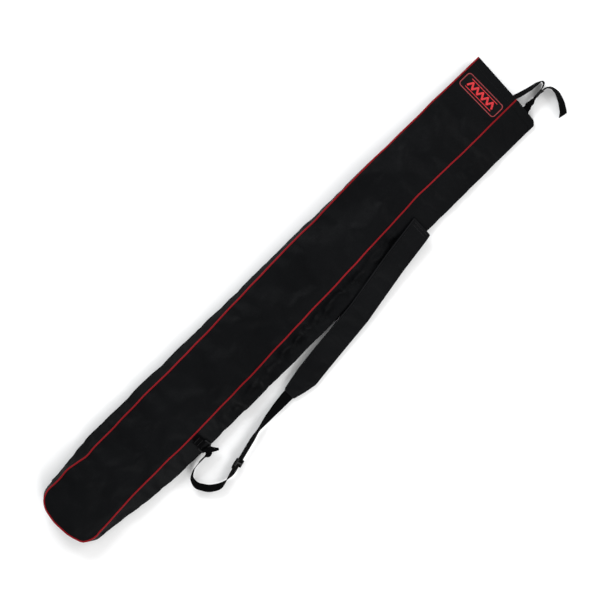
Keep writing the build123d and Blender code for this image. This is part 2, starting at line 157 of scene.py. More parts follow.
def unit(vectors):
    """The same directions, one metre long."""
    return vectors / np.maximum(np.linalg.norm(vectors, axis=-1, keepdims=True), 1e-9)


def ripple(x, seed, longest, shortest, waves=7):
    """Sum of sines with seeded phases and wavelengths from longest to shortest, scaled to about -1..1."""
    chance = np.random.default_rng(seed)
    lengths = np.geomspace(longest, shortest, waves)
    total = np.zeros_like(x, dtype=float)
    for length in lengths:
        total += (length / longest) ** 0.6 * np.sin(2 * math.pi * (x / length + chance.random()))
    return total / 2.0


def crumple_field(u, v, seed, size, count=14, stretch=1.0):
    """Sum of plane sine waves in many directions over (u, v), softly creased: about -1..1."""
    chance = np.random.default_rng(seed)
    total = np.zeros_like(u, dtype=float)
    for _ in range(count):
        angle = chance.uniform(0, math.pi)
        length = size * chance.uniform(0.6, 1.7)
        phase = chance.uniform(0, 2 * math.pi)
        wave = np.sin(2 * math.pi * (u * math.cos(angle) / stretch + v * math.sin(angle)) / length + phase)
        total += (1 - np.abs(wave)) * 2 - 1
    return total / math.sqrt(count)


# ------------------------------------------------------------------ the bag's shell
def along(values, x, reach=0.07):
    """A station value at x: straight between stations, then averaged over +-reach so nothing kinks."""
    offsets = np.linspace(-reach, reach, 9)
    weights = 1.2 - np.abs(offsets) / reach
    near = np.stack([np.interp(x + o, STATION_X, values) for o in offsets])
    return np.tensordot(weights / weights.sum(), near, 1)


def top_height(x):
    """Height of the front seam: level along the body and falling evenly to the mouth."""
    share = np.clip((x - FULL_TOP_X) / (MOUTH_X - FULL_TOP_X), 0, 1)
    return BODY_TOP + (MOUTH_TOP - BODY_TOP) * share


def rounded_line(points, reach, count):
    """A chain of points walked at even steps, each then averaged over reach metres either way.

    That rounds its corners and keeps its two ends. Columns past the third, such as a lean, are averaged too.
    """
    points = np.asarray(points, float)
    walked = np.concatenate([[0], np.cumsum(np.linalg.norm(np.diff(points[:, :3], axis=0), axis=1))])
    fine = np.linspace(0, walked[-1], FINE_STEPS + 1)
    line = np.stack([np.interp(fine, walked, points[:, k]) for k in range(points.shape[1])], -1)
    near = max(int(round(reach / walked[-1] * FINE_STEPS)), 1)
    before, after = 2 * line[:1] - line[near:0:-1], 2 * line[-1:] - line[-2:-near - 2:-1]
    window = np.hanning(2 * near + 3)[1:-1]
    stretched = np.concatenate([before, line, after])
    rounded = np.stack([np.convolve(column, window / window.sum(), "valid") for column in stretched.T], -1)
    at = np.linspace(0, FINE_STEPS, count)
    return np.stack([np.interp(at, np.arange(FINE_STEPS + 1), column) for column in rounded.T], -1)


def end_curve(columns):
    """Plan line of the seam round the closed end, right to left: a blunt outline with its corners rounded."""
    outline = [(END_START_X, FRONT_RIGHT[0]), (-0.791, -0.0905), (-0.8225, -0.0775), (END_X + 0.003, -0.034),
               (END_X, 0.018), (-0.8315, 0.061), (-0.8145, 0.0835), (-0.790, 0.0920),
               (END_START_X, FRONT_LEFT[0])]
    return rounded_line(outline, 0.020, columns)


def seam_lines(x):
    """The four long seams and two side folds at each x, with the cloth's slight wander."""
    calm = np.clip((PATCH_START_X - x) / 0.08, 0, 1) * np.clip((x - END_START_X) / 0.08, 0, 1)
    lines = {}
    for name, y, z, seed in (("front_left", along(FRONT_LEFT, x), top_height(x), 3),
                             ("front_right", along(FRONT_RIGHT, x), top_height(x), 8)):
        if name == "front_left":
            for place, depth, reach in SEAM_PINCHES:
                y = y + depth * np.exp(-((x - place) / reach) ** 2)
        lines[name] = np.stack([x, y + 0.0013 * calm * ripple(x, seed, 0.55, 0.07),
                                z + 0.0014 * calm * (ripple(x, seed + 1, 0.4, 0.05) - 0.8)], -1)
    for name, y, z, seed in (("fold_left", along(FOLD_LEFT_Y, x), along(FOLD_LEFT_Z, x), 13),
                             ("fold_right", along(FOLD_RIGHT_Y, x), along(FOLD_RIGHT_Z, x), 17)):
        lines[name] = np.stack([x, y + 0.0007 * calm * ripple(x, seed, 0.5, 0.08),
                                z + 0.0016 * calm * ripple(x, seed + 1, 0.35, 0.08)], -1)
    for name, y in (("back_left", along(BACK_LEFT, x)), ("back_right", along(BACK_RIGHT, x))):
        lines[name] = np.stack([x, y, np.full_like(x, FLOOR_SEAM_Z)], -1)
    for line in lines.values():      # the mouth is cut at a slight slant, its left side further out
        near_mouth = np.clip((line[:, 0] - 0.70) / 0.15, 0, 1) ** 2
        line[:, 0] += near_mouth * (MOUTH_OUT - MOUTH_SLANT * (FRONT_LEFT[-1] - line[:, 1]))
    return lines


def gusset_surface(front, fold, back, columns=GUSSET_COLUMNS):
    """Cloth from a front seam over a side fold to a back seam.

    Each point is a mix of the three lines: two straight leaves whose corner at the fold is a parabola.
    """
    upper = np.linalg.norm(fold - front, axis=1)
    lower = np.linalg.norm(back - fold, axis=1)
    middle = (upper / (upper + lower))[:, None]
    g = np.linspace(0, 1, columns)[None, :]

    soft_reach = np.minimum(SOFT_FOLD, 0.45 * np.minimum(middle, 1 - middle))

    def corner(t, soft):
        return np.where(t > soft, t, np.where(t < -soft, 0, (t + soft) ** 2 / (4 * soft)))

    a = corner(1 - g / middle, soft_reach / middle)
    c = corner((g - middle) / (1 - middle), soft_reach / (1 - middle))
    c = c / c[:, -1:]
    a = a / a[:, :1]
    b = 1 - a - c
    return a[..., None] * front[:, None] + b[..., None] * fold[:, None] + c[..., None] * back[:, None]


def panel_surface(left, right, edge, height):
    """Cloth between two long seams, ending in the rounded end.

    Rows run straight across from right to left. Past the last one, each column runs straight on to its
    own point of the end's curve.
    """
    v = np.linspace(0, 1, PANEL_COLUMNS)[None, :, None]
    body = right[:, None] * (1 - v) + left[:, None] * v
    last = body[-1]
    rim = np.concatenate([edge, np.full((PANEL_COLUMNS, 1), height)], axis=1)
    r = np.linspace(0, 1, END_ROWS + 1)[1:, None, None]
    return np.concatenate([body, last[None] * (1 - r) + rim[None] * r])


def surface_normals(points):
    """Unit normals of a grid of points, from its two directions."""
    down = np.gradient(points, axis=0)
    over = np.gradient(points, axis=1)
    return unit(np.cross(down, over))


def arc_lengths(points):
    """Distances along the rows and along the columns of a grid of points, as a texture map in metres."""
    down = np.linalg.norm(np.diff(points, axis=0), axis=2).mean(axis=1)
    over = np.linalg.norm(np.diff(points, axis=1), axis=2)
    u = np.concatenate([[0], np.cumsum(down)])[:, None] + np.zeros(points.shape[1])
    v = np.concatenate([np.zeros((points.shape[0], 1)), np.cumsum(over, axis=1)], axis=1)
    return np.stack([u, v - v.mean(axis=1, keepdims=True)], -1)


def shell_surfaces():
    """All five panels at the bag's lying shape, before wrinkling."""
    lines = seam_lines(np.linspace(MOUTH_X, END_START_X, ROWS))
    edge = end_curve(PANEL_COLUMNS)
    top_edge = lines["front_left"][-1, 2]
    lines_end = {"front": np.column_stack([edge, np.full(PANEL_COLUMNS, top_edge)]),
                 "back": np.column_stack([edge, np.full(PANEL_COLUMNS, FLOOR_SEAM_Z)])}
    lines_end["front"][0], lines_end["front"][-1] = lines["front_right"][-1], lines["front_left"][-1]
    lines_end["back"][0], lines_end["back"][-1] = lines["back_right"][-1], lines["back_left"][-1]
    travel = np.gradient(edge, axis=0)
    outward = unit(np.stack([-travel[:, 1], travel[:, 0]], -1))
    s = np.linspace(-1, 1, PANEL_COLUMNS)
    bulge = 0.0045 + 0.0085 * np.abs(s) ** 3
    fold = np.column_stack([edge + outward * bulge[:, None], np.full(PANEL_COLUMNS, END_FOLD_Z)])
    fold[0], fold[-1] = lines["fold_right"][-1], lines["fold_left"][-1]
    front = panel_surface(lines["front_left"], lines["front_right"], edge, top_edge)
    front[-1] = lines_end["front"]
    back = panel_surface(lines["back_left"], lines["back_right"], edge, FLOOR_SEAM_Z)
    back[-1] = lines_end["back"]
    left_gusset = gusset_surface(lines["front_left"], lines["fold_left"], lines["back_left"])
    surfaces = {
        "front_panel_cloth": front,
        "back_panel_cloth": back[:, ::-1],
        "right_gusset_cloth": gusset_surface(lines["front_right"], lines["fold_right"], lines["back_right"]),
        "base_gusset_cloth": gusset_surface(lines_end["front"], fold, lines_end["back"]),
        "left_gusset_cloth": left_gusset[:, ::-1],
    }
    return surfaces, lines, lines_end


def smooth_places(x):
    """1 on free cloth, falling to 0 beside the patch, the hem and the strap's two sewn places."""
    free = np.clip((PATCH_START_X - x) / 0.07, 0, 1)
    for sewn in SEWN_X:
        free = free * np.clip((np.abs(x - sewn) - SEWN_HALF) / 0.04, 0, 1)
    return free


def cut_corner(points):
    """Draws the mouth's edge back beside the right fold, where its corner is cut off."""
    near = np.exp(-((points[..., 1] - CORNER_Y) / 0.008) ** 2)
    share = np.clip((points[..., 0] - 0.78) / 0.07, 0, 1.05) ** 2
    moved = points.copy()
    moved[..., 0] -= CORNER_CUT * near * share
    return moved


def soft_folds(name, points):
    """Broad folds pressed into a panel: seeded waves, fading to nothing at its seams and at the mouth."""
    rows, columns = points.shape[:2]
    v = np.linspace(0, 1, columns)[None, :]
    inside = np.sin(math.pi * v) ** 0.7
    if "front" in name or "back" in name:
        free = np.clip((PATCH_START_X - points[..., 0]) / 0.07, 0, 1)
    else:
        free = smooth_places(points[..., 0])
    cloth = arc_lengths(points)
    u, w = cloth[..., 0], cloth[..., 1]
    if name == "front_panel_cloth":
        end = np.clip(np.arange(rows)[::-1, None] / END_ROWS, 0, 1) ** 0.6
        broad = crumple_field(u, w, 21, 0.26, stretch=1.6)
        fine = crumple_field(u, w, 22, 0.09, stretch=1.3)
        lift = inside * end * (0.0022 * broad + 0.0006 * fine - 0.0016)
    elif "gusset" in name and name != "base_gusset_cloth":
        right = name.startswith("right")
        seed = 31 if right else 41
        busy = 0.35 + (1.2 * np.exp(-((points[..., 0] - 0.04) / 0.26) ** 2) if right else 0.0)
        beside_seam = np.exp(-((v - 0.30) / 0.24) ** 2) if right else 0.5
        broad = crumple_field(u, w, seed, 0.17, stretch=1.0)
        fine = crumple_field(u, w, seed + 1, 0.06)
        lift = inside * busy * beside_seam * (0.0070 * broad + 0.0026 * fine)
    elif name == "base_gusset_cloth":
        lift = inside * 0.0012 * crumple_field(u, w, 51, 0.07)
    else:
        lift = np.zeros((rows, columns))
    return points + surface_normals(points) * (lift * free)[..., None]


def weld(surfaces):
    """One mesh from all panels: equal points become one, and quads that lose a corner become triangles."""
    points = np.concatenate([s.reshape(-1, 3) for s in surfaces.values()])
    _, first, shared = np.unique(np.round(points, 6), axis=0, return_index=True, return_inverse=True)
    shared = shared.ravel()
    faces, start = [], 0
    for surface in surfaces.values():
        for face in shared[grid_faces(*surface.shape[:2]) + start].tolist():
            corners = [c for k, c in enumerate(face) if c != face[k - 1]]
            if len(corners) > 2:
                faces.append(corners)
        start += surface.shape[0] * surface.shape[1]
    return points[first], faces, shared


def wrinkle(surfaces, hold, busy, spare, busy_spare, frames, cap=0.011):
    """Cloth simulation of the joined panels.

    The cloth is cut a little larger than the space between its held seams, so it buckles into wrinkles:
    by spare, rising to busy_spare where busy is 1. hold gives, for each point, how firmly it stays at its
    place: 1 on the seams. No point moves further than cap.
    """
    points, faces, shared = weld(surfaces)
    grip = np.zeros(len(points))
    np.maximum.at(grip, shared, hold)
    extra = np.zeros(len(points))
    np.maximum.at(extra, shared, busy)
    mesh = bpy.data.meshes.new("wrinkling")
    mesh.from_pydata(points.tolist(), [], faces)
    cloth = bpy.data.objects.new("wrinkling", mesh)
    scene.collection.objects.link(cloth)
    for label, weights in (("hold", grip), ("busy", extra)):
        group = cloth.vertex_groups.new(name=label)
        levels = np.round(weights, 2)
        for level in np.unique(levels):
            group.add(np.nonzero(levels == level)[0].tolist(), float(level), "REPLACE")
    settings = cloth.modifiers.new("cloth", "CLOTH").settings
    settings.quality = 5
    settings.mass = 0.25
    settings.tension_stiffness, settings.compression_stiffness = 18, 18
    settings.shear_stiffness, settings.bending_stiffness = 8, 0.6
    settings.shrink_min, settings.shrink_max = -spare, -busy_spare
    settings.vertex_group_shrink = "busy"
    settings.vertex_group_mass = "hold"
    settings.effector_weights.gravity = 0
    cloth.modifiers["cloth"].collision_settings.use_collision = False
    cloth.modifiers["cloth"].point_cache.frame_end = frames
    for step in range(1, frames + 1):
        scene.frame_set(step)
    baked = cloth.evaluated_get(bpy.context.evaluated_depsgraph_get()).data
    moved = np.empty(len(points) * 3)
    baked.vertices.foreach_get("co", moved)
    moved = moved.reshape(-1, 3)
    scene.frame_set(1)
    bpy.data.objects.remove(cloth)
    reach = moved - points
    length = np.linalg.norm(reach, axis=1, keepdims=True)
    capped = points + reach * np.minimum(1, cap / np.maximum(length, 1e-9))
    settled = capped[shared]
    out, start = {}, 0
    for name, surface in surfaces.items():
        count = surface.shape[0] * surface.shape[1]
        out[name] = settled[start:start + count].reshape(surface.shape)
        start += count
    return out


def hold_weights(surfaces):
    """How firmly each point is held: 1 on every seam, at the mouth and where something is sewn on."""
    parts = []
    for name, surface in surfaces.items():
        x = surface[..., 0]
        free = np.clip((PATCH_START_X - x) / 0.05, 0, 1) if "panel" in name else smooth_places(x)
        grip = 1 - 0.97 * free
        if name == "base_gusset_cloth":
            grip[:] = 0.45
        elif "gusset" in name:
            place = np.linspace(0, 1, surface.shape[1])[None, :]
            grip = np.maximum(grip, 0.5 * np.exp(-((place - 0.66) / 0.16) ** 2))
        grip[:, 0] = grip[:, -1] = 1
        if "panel" in name:
            grip[-1] = 1
        parts.append(grip.ravel())
    return np.concatenate(parts)


def busy_weights(surfaces):
    """Where the cloth has most to spare: on the right gusset about the bag's middle, and beside its seam."""
    parts = []
    for name, surface in surfaces.items():
        middle = np.exp(-((surface[..., 0] - 0.05) / 0.33) ** 2)
        if name == "right_gusset_cloth":
            share = middle * np.exp(-((np.linspace(0, 1, surface.shape[1])[None, :] - 0.3) / 0.25) ** 2)
        elif name == "front_panel_cloth":
            across = np.linspace(1, 0, surface.shape[1])[None, :] ** 2
            share = 0.45 * middle * across
        else:
            share = np.zeros(surface.shape[:2])
        parts.append(share.ravel())
    return np.concatenate(parts)


# ------------------------------------------------------------------ materials
def new_material(name):
    material = bpy.data.materials.new(name)
    material.use_nodes = True
    material.node_tree.nodes.clear()
    return material, material.node_tree.nodes, material.node_tree.links


def woven_cloth(name, colour, worn, weave, roughness, sheen, crease, crease_size=9.0):
    """Close woven cloth: crossed threads, soft creases, and a colour that lightens a little on worn ground.

    colour and worn are linear RGB, weave is the thread pitch in metres, crease the depth of fine creases.
    """
    material, nodes, links = new_material(name)

    weave_frame = nodes.new("NodeFrame")
    weave_frame.label = "Weave: warp and weft threads"
    crease_frame = nodes.new("NodeFrame")
    crease_frame.label = "Creases and handling marks"
    colour_frame = nodes.new("NodeFrame")
    colour_frame.label = "Cloth colour"

    cloth_map = nodes.new("ShaderNodeUVMap")
    cloth_map.label, cloth_map.location = "cloth lengths in metres", (-1500, 300)
    cloth_map.uv_map = "cloth"
    warp = nodes.new("ShaderNodeTexWave")
    warp.label, warp.location, warp.parent = "warp threads", (-1200, 420), weave_frame
    weft = nodes.new("ShaderNodeTexWave")
    weft.label, weft.location, weft.parent = "weft threads", (-1200, 120), weave_frame
    for threads, direction in ((warp, "X"), (weft, "Y")):
        threads.wave_type, threads.bands_direction, threads.wave_profile = "BANDS", direction, "SIN"
        threads.inputs["Scale"].default_value = 1 / (weave * 6.5)
        threads.inputs["Distortion"].default_value = 0.6
        threads.inputs["Detail Scale"].default_value = 300.0
    over_under = nodes.new("ShaderNodeMath")
    over_under.label, over_under.location, over_under.parent = "over and under", (-950, 280), weave_frame
    over_under.operation = "MAXIMUM"
    links.new(cloth_map.outputs["UV"], warp.inputs["Vector"])
    links.new(cloth_map.outputs["UV"], weft.inputs["Vector"])
    links.new(warp.outputs["Fac"], over_under.inputs[0])
    links.new(weft.outputs["Fac"], over_under.inputs[1])

    place = nodes.new("ShaderNodeTexCoord")
    place.label, place.location = "place on the object", (-1500, -200)
    soft = nodes.new("ShaderNodeTexNoise")
    soft.label, soft.location, soft.parent = "soft creases", (-1200, -160), crease_frame
    soft.inputs["Scale"].default_value = crease_size
    soft.inputs["Detail"].default_value = 5.0
    soft.inputs["Roughness"].default_value = 0.52
    soft.inputs["Distortion"].default_value = 0.9
    sharp = nodes.new("ShaderNodeTexVoronoi")
    sharp.label, sharp.location, sharp.parent = "fine creased facets", (-1200, -420), crease_frame
    sharp.feature = "SMOOTH_F1"
    sharp.inputs["Scale"].default_value = crease_size * 2.6
    sharp.inputs["Smoothness"].default_value = 0.35
    crease_sum = nodes.new("ShaderNodeMix")
    crease_sum.label, crease_sum.location, crease_sum.parent = "creases together", (-950, -280), crease_frame
    crease_sum.data_type = "FLOAT"
    crease_sum.inputs["Factor"].default_value = 0.28
    links.new(place.outputs["Object"], soft.inputs["Vector"])
    links.new(place.outputs["Object"], sharp.inputs["Vector"])
    links.new(soft.outputs["Fac"], crease_sum.inputs["A"])
    links.new(sharp.outputs["Distance"], crease_sum.inputs["B"])

    marks = nodes.new("ShaderNodeTexNoise")
    marks.label, marks.location, marks.parent = "rubbed and dusty patches", (-1200, -700), colour_frame
    marks.inputs["Scale"].default_value = 6.0
    marks.inputs["Detail"].default_value = 7.0
    marks.inputs["Roughness"].default_value = 0.6
    spread = nodes.new("ShaderNodeMapRange")
    spread.label, spread.location, spread.parent = "how much is rubbed", (-950, -700), colour_frame
    spread.inputs["From Min"].default_value = 0.38
    spread.inputs["From Max"].default_value = 0.68
    thread_tone = nodes.new("ShaderNodeMath")
    thread_tone.label, thread_tone.location = "threads catch the tone", (-720, -560)
    thread_tone.parent = colour_frame
    thread_tone.operation = "MULTIPLY"
    tint = nodes.new("ShaderNodeMix")
    tint.label, tint.location, tint.parent = "cloth to rubbed cloth", (-500, -420), colour_frame
    tint.data_type = "RGBA"
    tint.inputs["A"].default_value = (*colour, 1)
    tint.inputs["B"].default_value = (*worn, 1)
    links.new(place.outputs["Object"], marks.inputs["Vector"])
    links.new(marks.outputs["Fac"], spread.inputs["Value"])
    links.new(spread.outputs["Result"], thread_tone.inputs[0])
    links.new(over_under.outputs["Value"], thread_tone.inputs[1])
    links.new(thread_tone.outputs["Value"], tint.inputs["Factor"])

    rough = nodes.new("ShaderNodeMapRange")
    rough.label, rough.location, rough.parent = "creases change the gloss", (-500, -160), crease_frame
    rough.inputs["To Min"].default_value = roughness - 0.07
    rough.inputs["To Max"].default_value = roughness + 0.12
    links.new(soft.outputs["Fac"], rough.inputs["Value"])

    crease_bump = nodes.new("ShaderNodeBump")
    crease_bump.label, crease_bump.location, crease_bump.parent = "crease depth", (-500, 60), crease_frame
    crease_bump.inputs["Strength"].default_value = 1.0
    crease_bump.inputs["Distance"].default_value = crease
    weave_bump = nodes.new("ShaderNodeBump")
    weave_bump.label, weave_bump.location, weave_bump.parent = "thread depth", (-260, 240), weave_frame
    weave_bump.inputs["Strength"].default_value = 0.55
    weave_bump.inputs["Distance"].default_value = weave * 0.3
    links.new(crease_sum.outputs["Result"], crease_bump.inputs["Height"])
    links.new(over_under.outputs["Value"], weave_bump.inputs["Height"])
    links.new(crease_bump.outputs["Normal"], weave_bump.inputs["Normal"])

    shader = nodes.new("ShaderNodeBsdfPrincipled")
    shader.label, shader.location = "coated polyester", (0, 0)
    shader.inputs["Specular IOR Level"].default_value = 0.056
    shader.inputs["Sheen Weight"].default_value = sheen
    shader.inputs["Sheen Roughness"].default_value = 0.45
    shader.inputs["Sheen Tint"].default_value = (0.80, 0.88, 1.0, 1)
    output = nodes.new("ShaderNodeOutputMaterial")
    output.label, output.location = "surface", (300, 0)
    links.new(tint.outputs["Result"], shader.inputs["Base Color"])
    links.new(rough.outputs["Result"], shader.inputs["Roughness"])
    links.new(weave_bump.outputs["Normal"], shader.inputs["Normal"])
    links.new(shader.outputs["BSDF"], output.inputs["Surface"])
    return material


shell_cloth = woven_cloth("black_coated_polyester", (0.0017, 0.0019, 0.0023), (0.0034, 0.0037, 0.0043),
                          0.0007, 0.46, 0.001, 0.0042)
piping_cloth = woven_cloth("red_piping_cover", (0.180, 0.0037, 0.0064), (0.245, 0.0092, 0.0138),
                           0.0006, 0.50, 0.03, 0.0006, 60.0)


# ------------------------------------------------------------------ bag shell pieces
surfaces, seams, end_seams = shell_surfaces()
surfaces = {name: soft_folds(name, points) for name, points in surfaces.items()}
texture_maps = {name: arc_lengths(points) for name, points in surfaces.items()}
surfaces = wrinkle(surfaces, hold_weights(surfaces), busy_weights(surfaces), SPARE, BUSY_SPARE,
                   SHELL_FRAMES)
surfaces = {name: cut_corner(points) for name, points in surfaces.items()}
for points in surfaces.values():
    points[..., 2] = np.maximum(points[..., 2], 0.0006)

for name, points in surfaces.items():
    piece = make_piece(name, points, grid_faces(*points.shape[:2]), texture_maps[name])
    subdivide(piece, 1)
    thicken(piece, FABRIC)
    finish_piece(piece, "bag", "shell_fabric", shell_cloth, name.removesuffix("_cloth"))


def tube(name, line, radius, around=12):
    """Round cord along a line of points: rings of the given radius square to the line, caps closed."""
    tangent = unit(np.gradient(line, axis=0))
    up = np.array([0.0, 0.0, 1.0])
    side = unit(np.cross(tangent, up))
    top = np.cross(side, tangent)
    angle = np.linspace(0, 2 * math.pi, around, endpoint=False)[None, :, None]
    rings = line[:, None] + radius * (np.cos(angle) * side[:, None] + np.sin(angle) * top[:, None])
    cap_start = np.repeat(line[:1, None], around, axis=1)
    cap_end = np.repeat(line[-1:, None], around, axis=1)
    rings = np.concatenate([cap_start, rings, cap_end])
    walked = np.concatenate([[0], np.cumsum(np.linalg.norm(np.diff(line, axis=0), axis=1))])
    walked = np.concatenate([walked[:1], walked, walked[-1:]])
    uv = np.stack([np.repeat(walked[:, None], around, 1),
                   np.repeat(np.arange(around)[None] * radius * 2 * math.pi / around, len(walked), 0)], -1)
    faces = grid_faces(len(rings), around, closed_columns=True)[:, ::-1]
    return make_piece(name, rings, faces, uv)


def seam_loop(right, end, left):
    """One line of points down the right seam, round the end and back up the left seam."""
    return np.concatenate([right, end[1:-1], left[::-1]])


front_line = seam_loop(seams["front_right"], end_seams["front"], seams["front_left"])
back_line = seam_loop(seams["back_right"][3:], end_seams["back"], seams["back_left"][3:])
finish_piece(tube("front_piping_cover", front_line, PIPING_COVER_R), "bag", "red_piping", piping_cloth,
             "front_piping")
# The lower piping stands a little outside its seam and lies on the floor.
outside = np.sign(back_line[:, 1:2]) * np.array([[0.0, 0.0014, 0.0]]) - np.array([[0.0, 0.0, 0.0005]])
finish_piece(tube("back_piping_cover", back_line + outside, PIPING_R), "bag", "red_piping", piping_cloth,
             "back_piping")


# ------------------------------------------------------------------ tapes, threads and their lines
def close_up(piece, merge=0.000002):
    """Joins points that lie on each other and turns every face outwards."""
    shape = bmesh.new()
    shape.from_mesh(piece.data)
    bmesh.ops.remove_doubles(shape, verts=shape.verts, dist=merge)
    bmesh.ops.recalc_face_normals(shape, faces=shape.faces)
    shape.to_mesh(piece.data)
    shape.free()
    piece.data.polygons.foreach_set("use_smooth", [True] * len(piece.data.polygons))
    return piece


def tape_section(width, thickness):
    """Outline of a flat tape: two long faces joined by half-round edges, as arrays across and through."""
    half, edge = width / 2 - thickness / 2, thickness / 2
    face = np.linspace(-half, half, 11)
    turn = np.linspace(math.pi / 2, -math.pi / 2, 6)[1:-1]
    across = np.concatenate([face, half + edge * np.cos(turn), face[::-1], -half - edge * np.cos(turn)])
    flat = np.full(11, edge)
    through = np.concatenate([flat, edge * np.sin(turn), -flat, -edge * np.sin(turn)])
    return across, through


def tape(name, line, across, width, thickness, taper=None):
    """Flat woven tape: a tape's section carried along a line, its long side in the direction across.

    taper scales the width at each point of the line. The ends are folded shut on the tape's middle layer.
    """
    tangent = unit(np.gradient(line, axis=0))
    across = unit(across - (across * tangent).sum(-1, keepdims=True) * tangent)
    normal = np.cross(tangent, across)
    a, b = tape_section(width, thickness)
    a = a[None] * (np.ones(len(line)) if taper is None else taper)[:, None]
    rings = line[:, None] + a[..., None] * across[:, None] + b[None, :, None] * normal[:, None]
    flat_ends = line[[0, -1], None] + a[[0, -1], :, None] * across[[0, -1], None]
    rings = np.concatenate([flat_ends[:1], rings, flat_ends[1:]])
    walked = np.concatenate([[0], np.cumsum(np.linalg.norm(np.diff(line, axis=0), axis=1))])
    walked = np.concatenate([walked[:1], walked, walked[-1:]])
    uv = np.stack([walked[:, None] + 0 * a[:1], np.concatenate([a[:1], a, a[-1:]])], -1)
    return close_up(make_piece(name, rings, grid_faces(len(rings), len(b), closed_columns=True), uv))


def leaning(line, degrees):
    """Direction of a tape's width along a line, turned about it: upright at 0 degrees, flat at 90."""
    tangent = unit(np.gradient(line[:, :3], axis=0))
    side = unit(np.cross(tangent, [0.0, 0.0, 1.0]))
    up = np.cross(side, tangent)
    angle = np.radians(degrees)[:, None]
    return np.cos(angle) * up + np.sin(angle) * side


def stitch_row(name, line, normals, length, pitch, width):
    """A row of sewn stitches: each is a small spindle of thread lying on the line, sunk in at both ends."""
    walked = np.concatenate([[0], np.cumsum(np.linalg.norm(np.diff(line, axis=0), axis=1))])
    starts = np.arange(pitch / 2, walked[-1] - pitch / 2, pitch)
    share = np.linspace(-0.5, 0.5, 5)
    at = starts[:, None] + share[None] * length
    middle = np.stack([np.interp(at, walked, line[:, k]) for k in range(3)], -1)
    normal = unit(np.stack([np.interp(at, walked, normals[:, k]) for k in range(3)], -1))
    tangent = unit(np.gradient(middle, axis=1))
    side = unit(np.cross(tangent, normal))
    swell = np.sqrt(np.clip(1 - (2 * share) ** 2, 0, 1))
    angle = np.linspace(0, 2 * math.pi, 6, endpoint=False)
    ring = (np.cos(angle)[:, None] * side[:, :, None] + np.sin(angle)[:, None] * 0.8 * normal[:, :, None])
    points = middle[:, :, None] + width / 2 * swell[None, :, None, None] * ring
    points += (0.35 * width * (swell - 0.4))[None, :, None, None] * normal[:, :, None]
    one = grid_faces(5, 6, closed_columns=True)
    faces = (one[None] + 30 * np.arange(len(starts))[:, None, None]).reshape(-1, 4)
    uv = np.stack([np.repeat(at[:, :, None], 6, 2), np.zeros((*at.shape, 6))], -1)
    return close_up(make_piece(name, points, faces, uv), 0.0000005)


def smooth_line(points, reach, spacing):
    """Rounded line through a chain of points; columns past the third, such as a lean, are carried with it."""
    points = np.asarray(points, float)
    length = np.linalg.norm(np.diff(points[:, :3], axis=0), axis=1).sum()
    return rounded_line(points, reach, int(length / spacing) + 2)


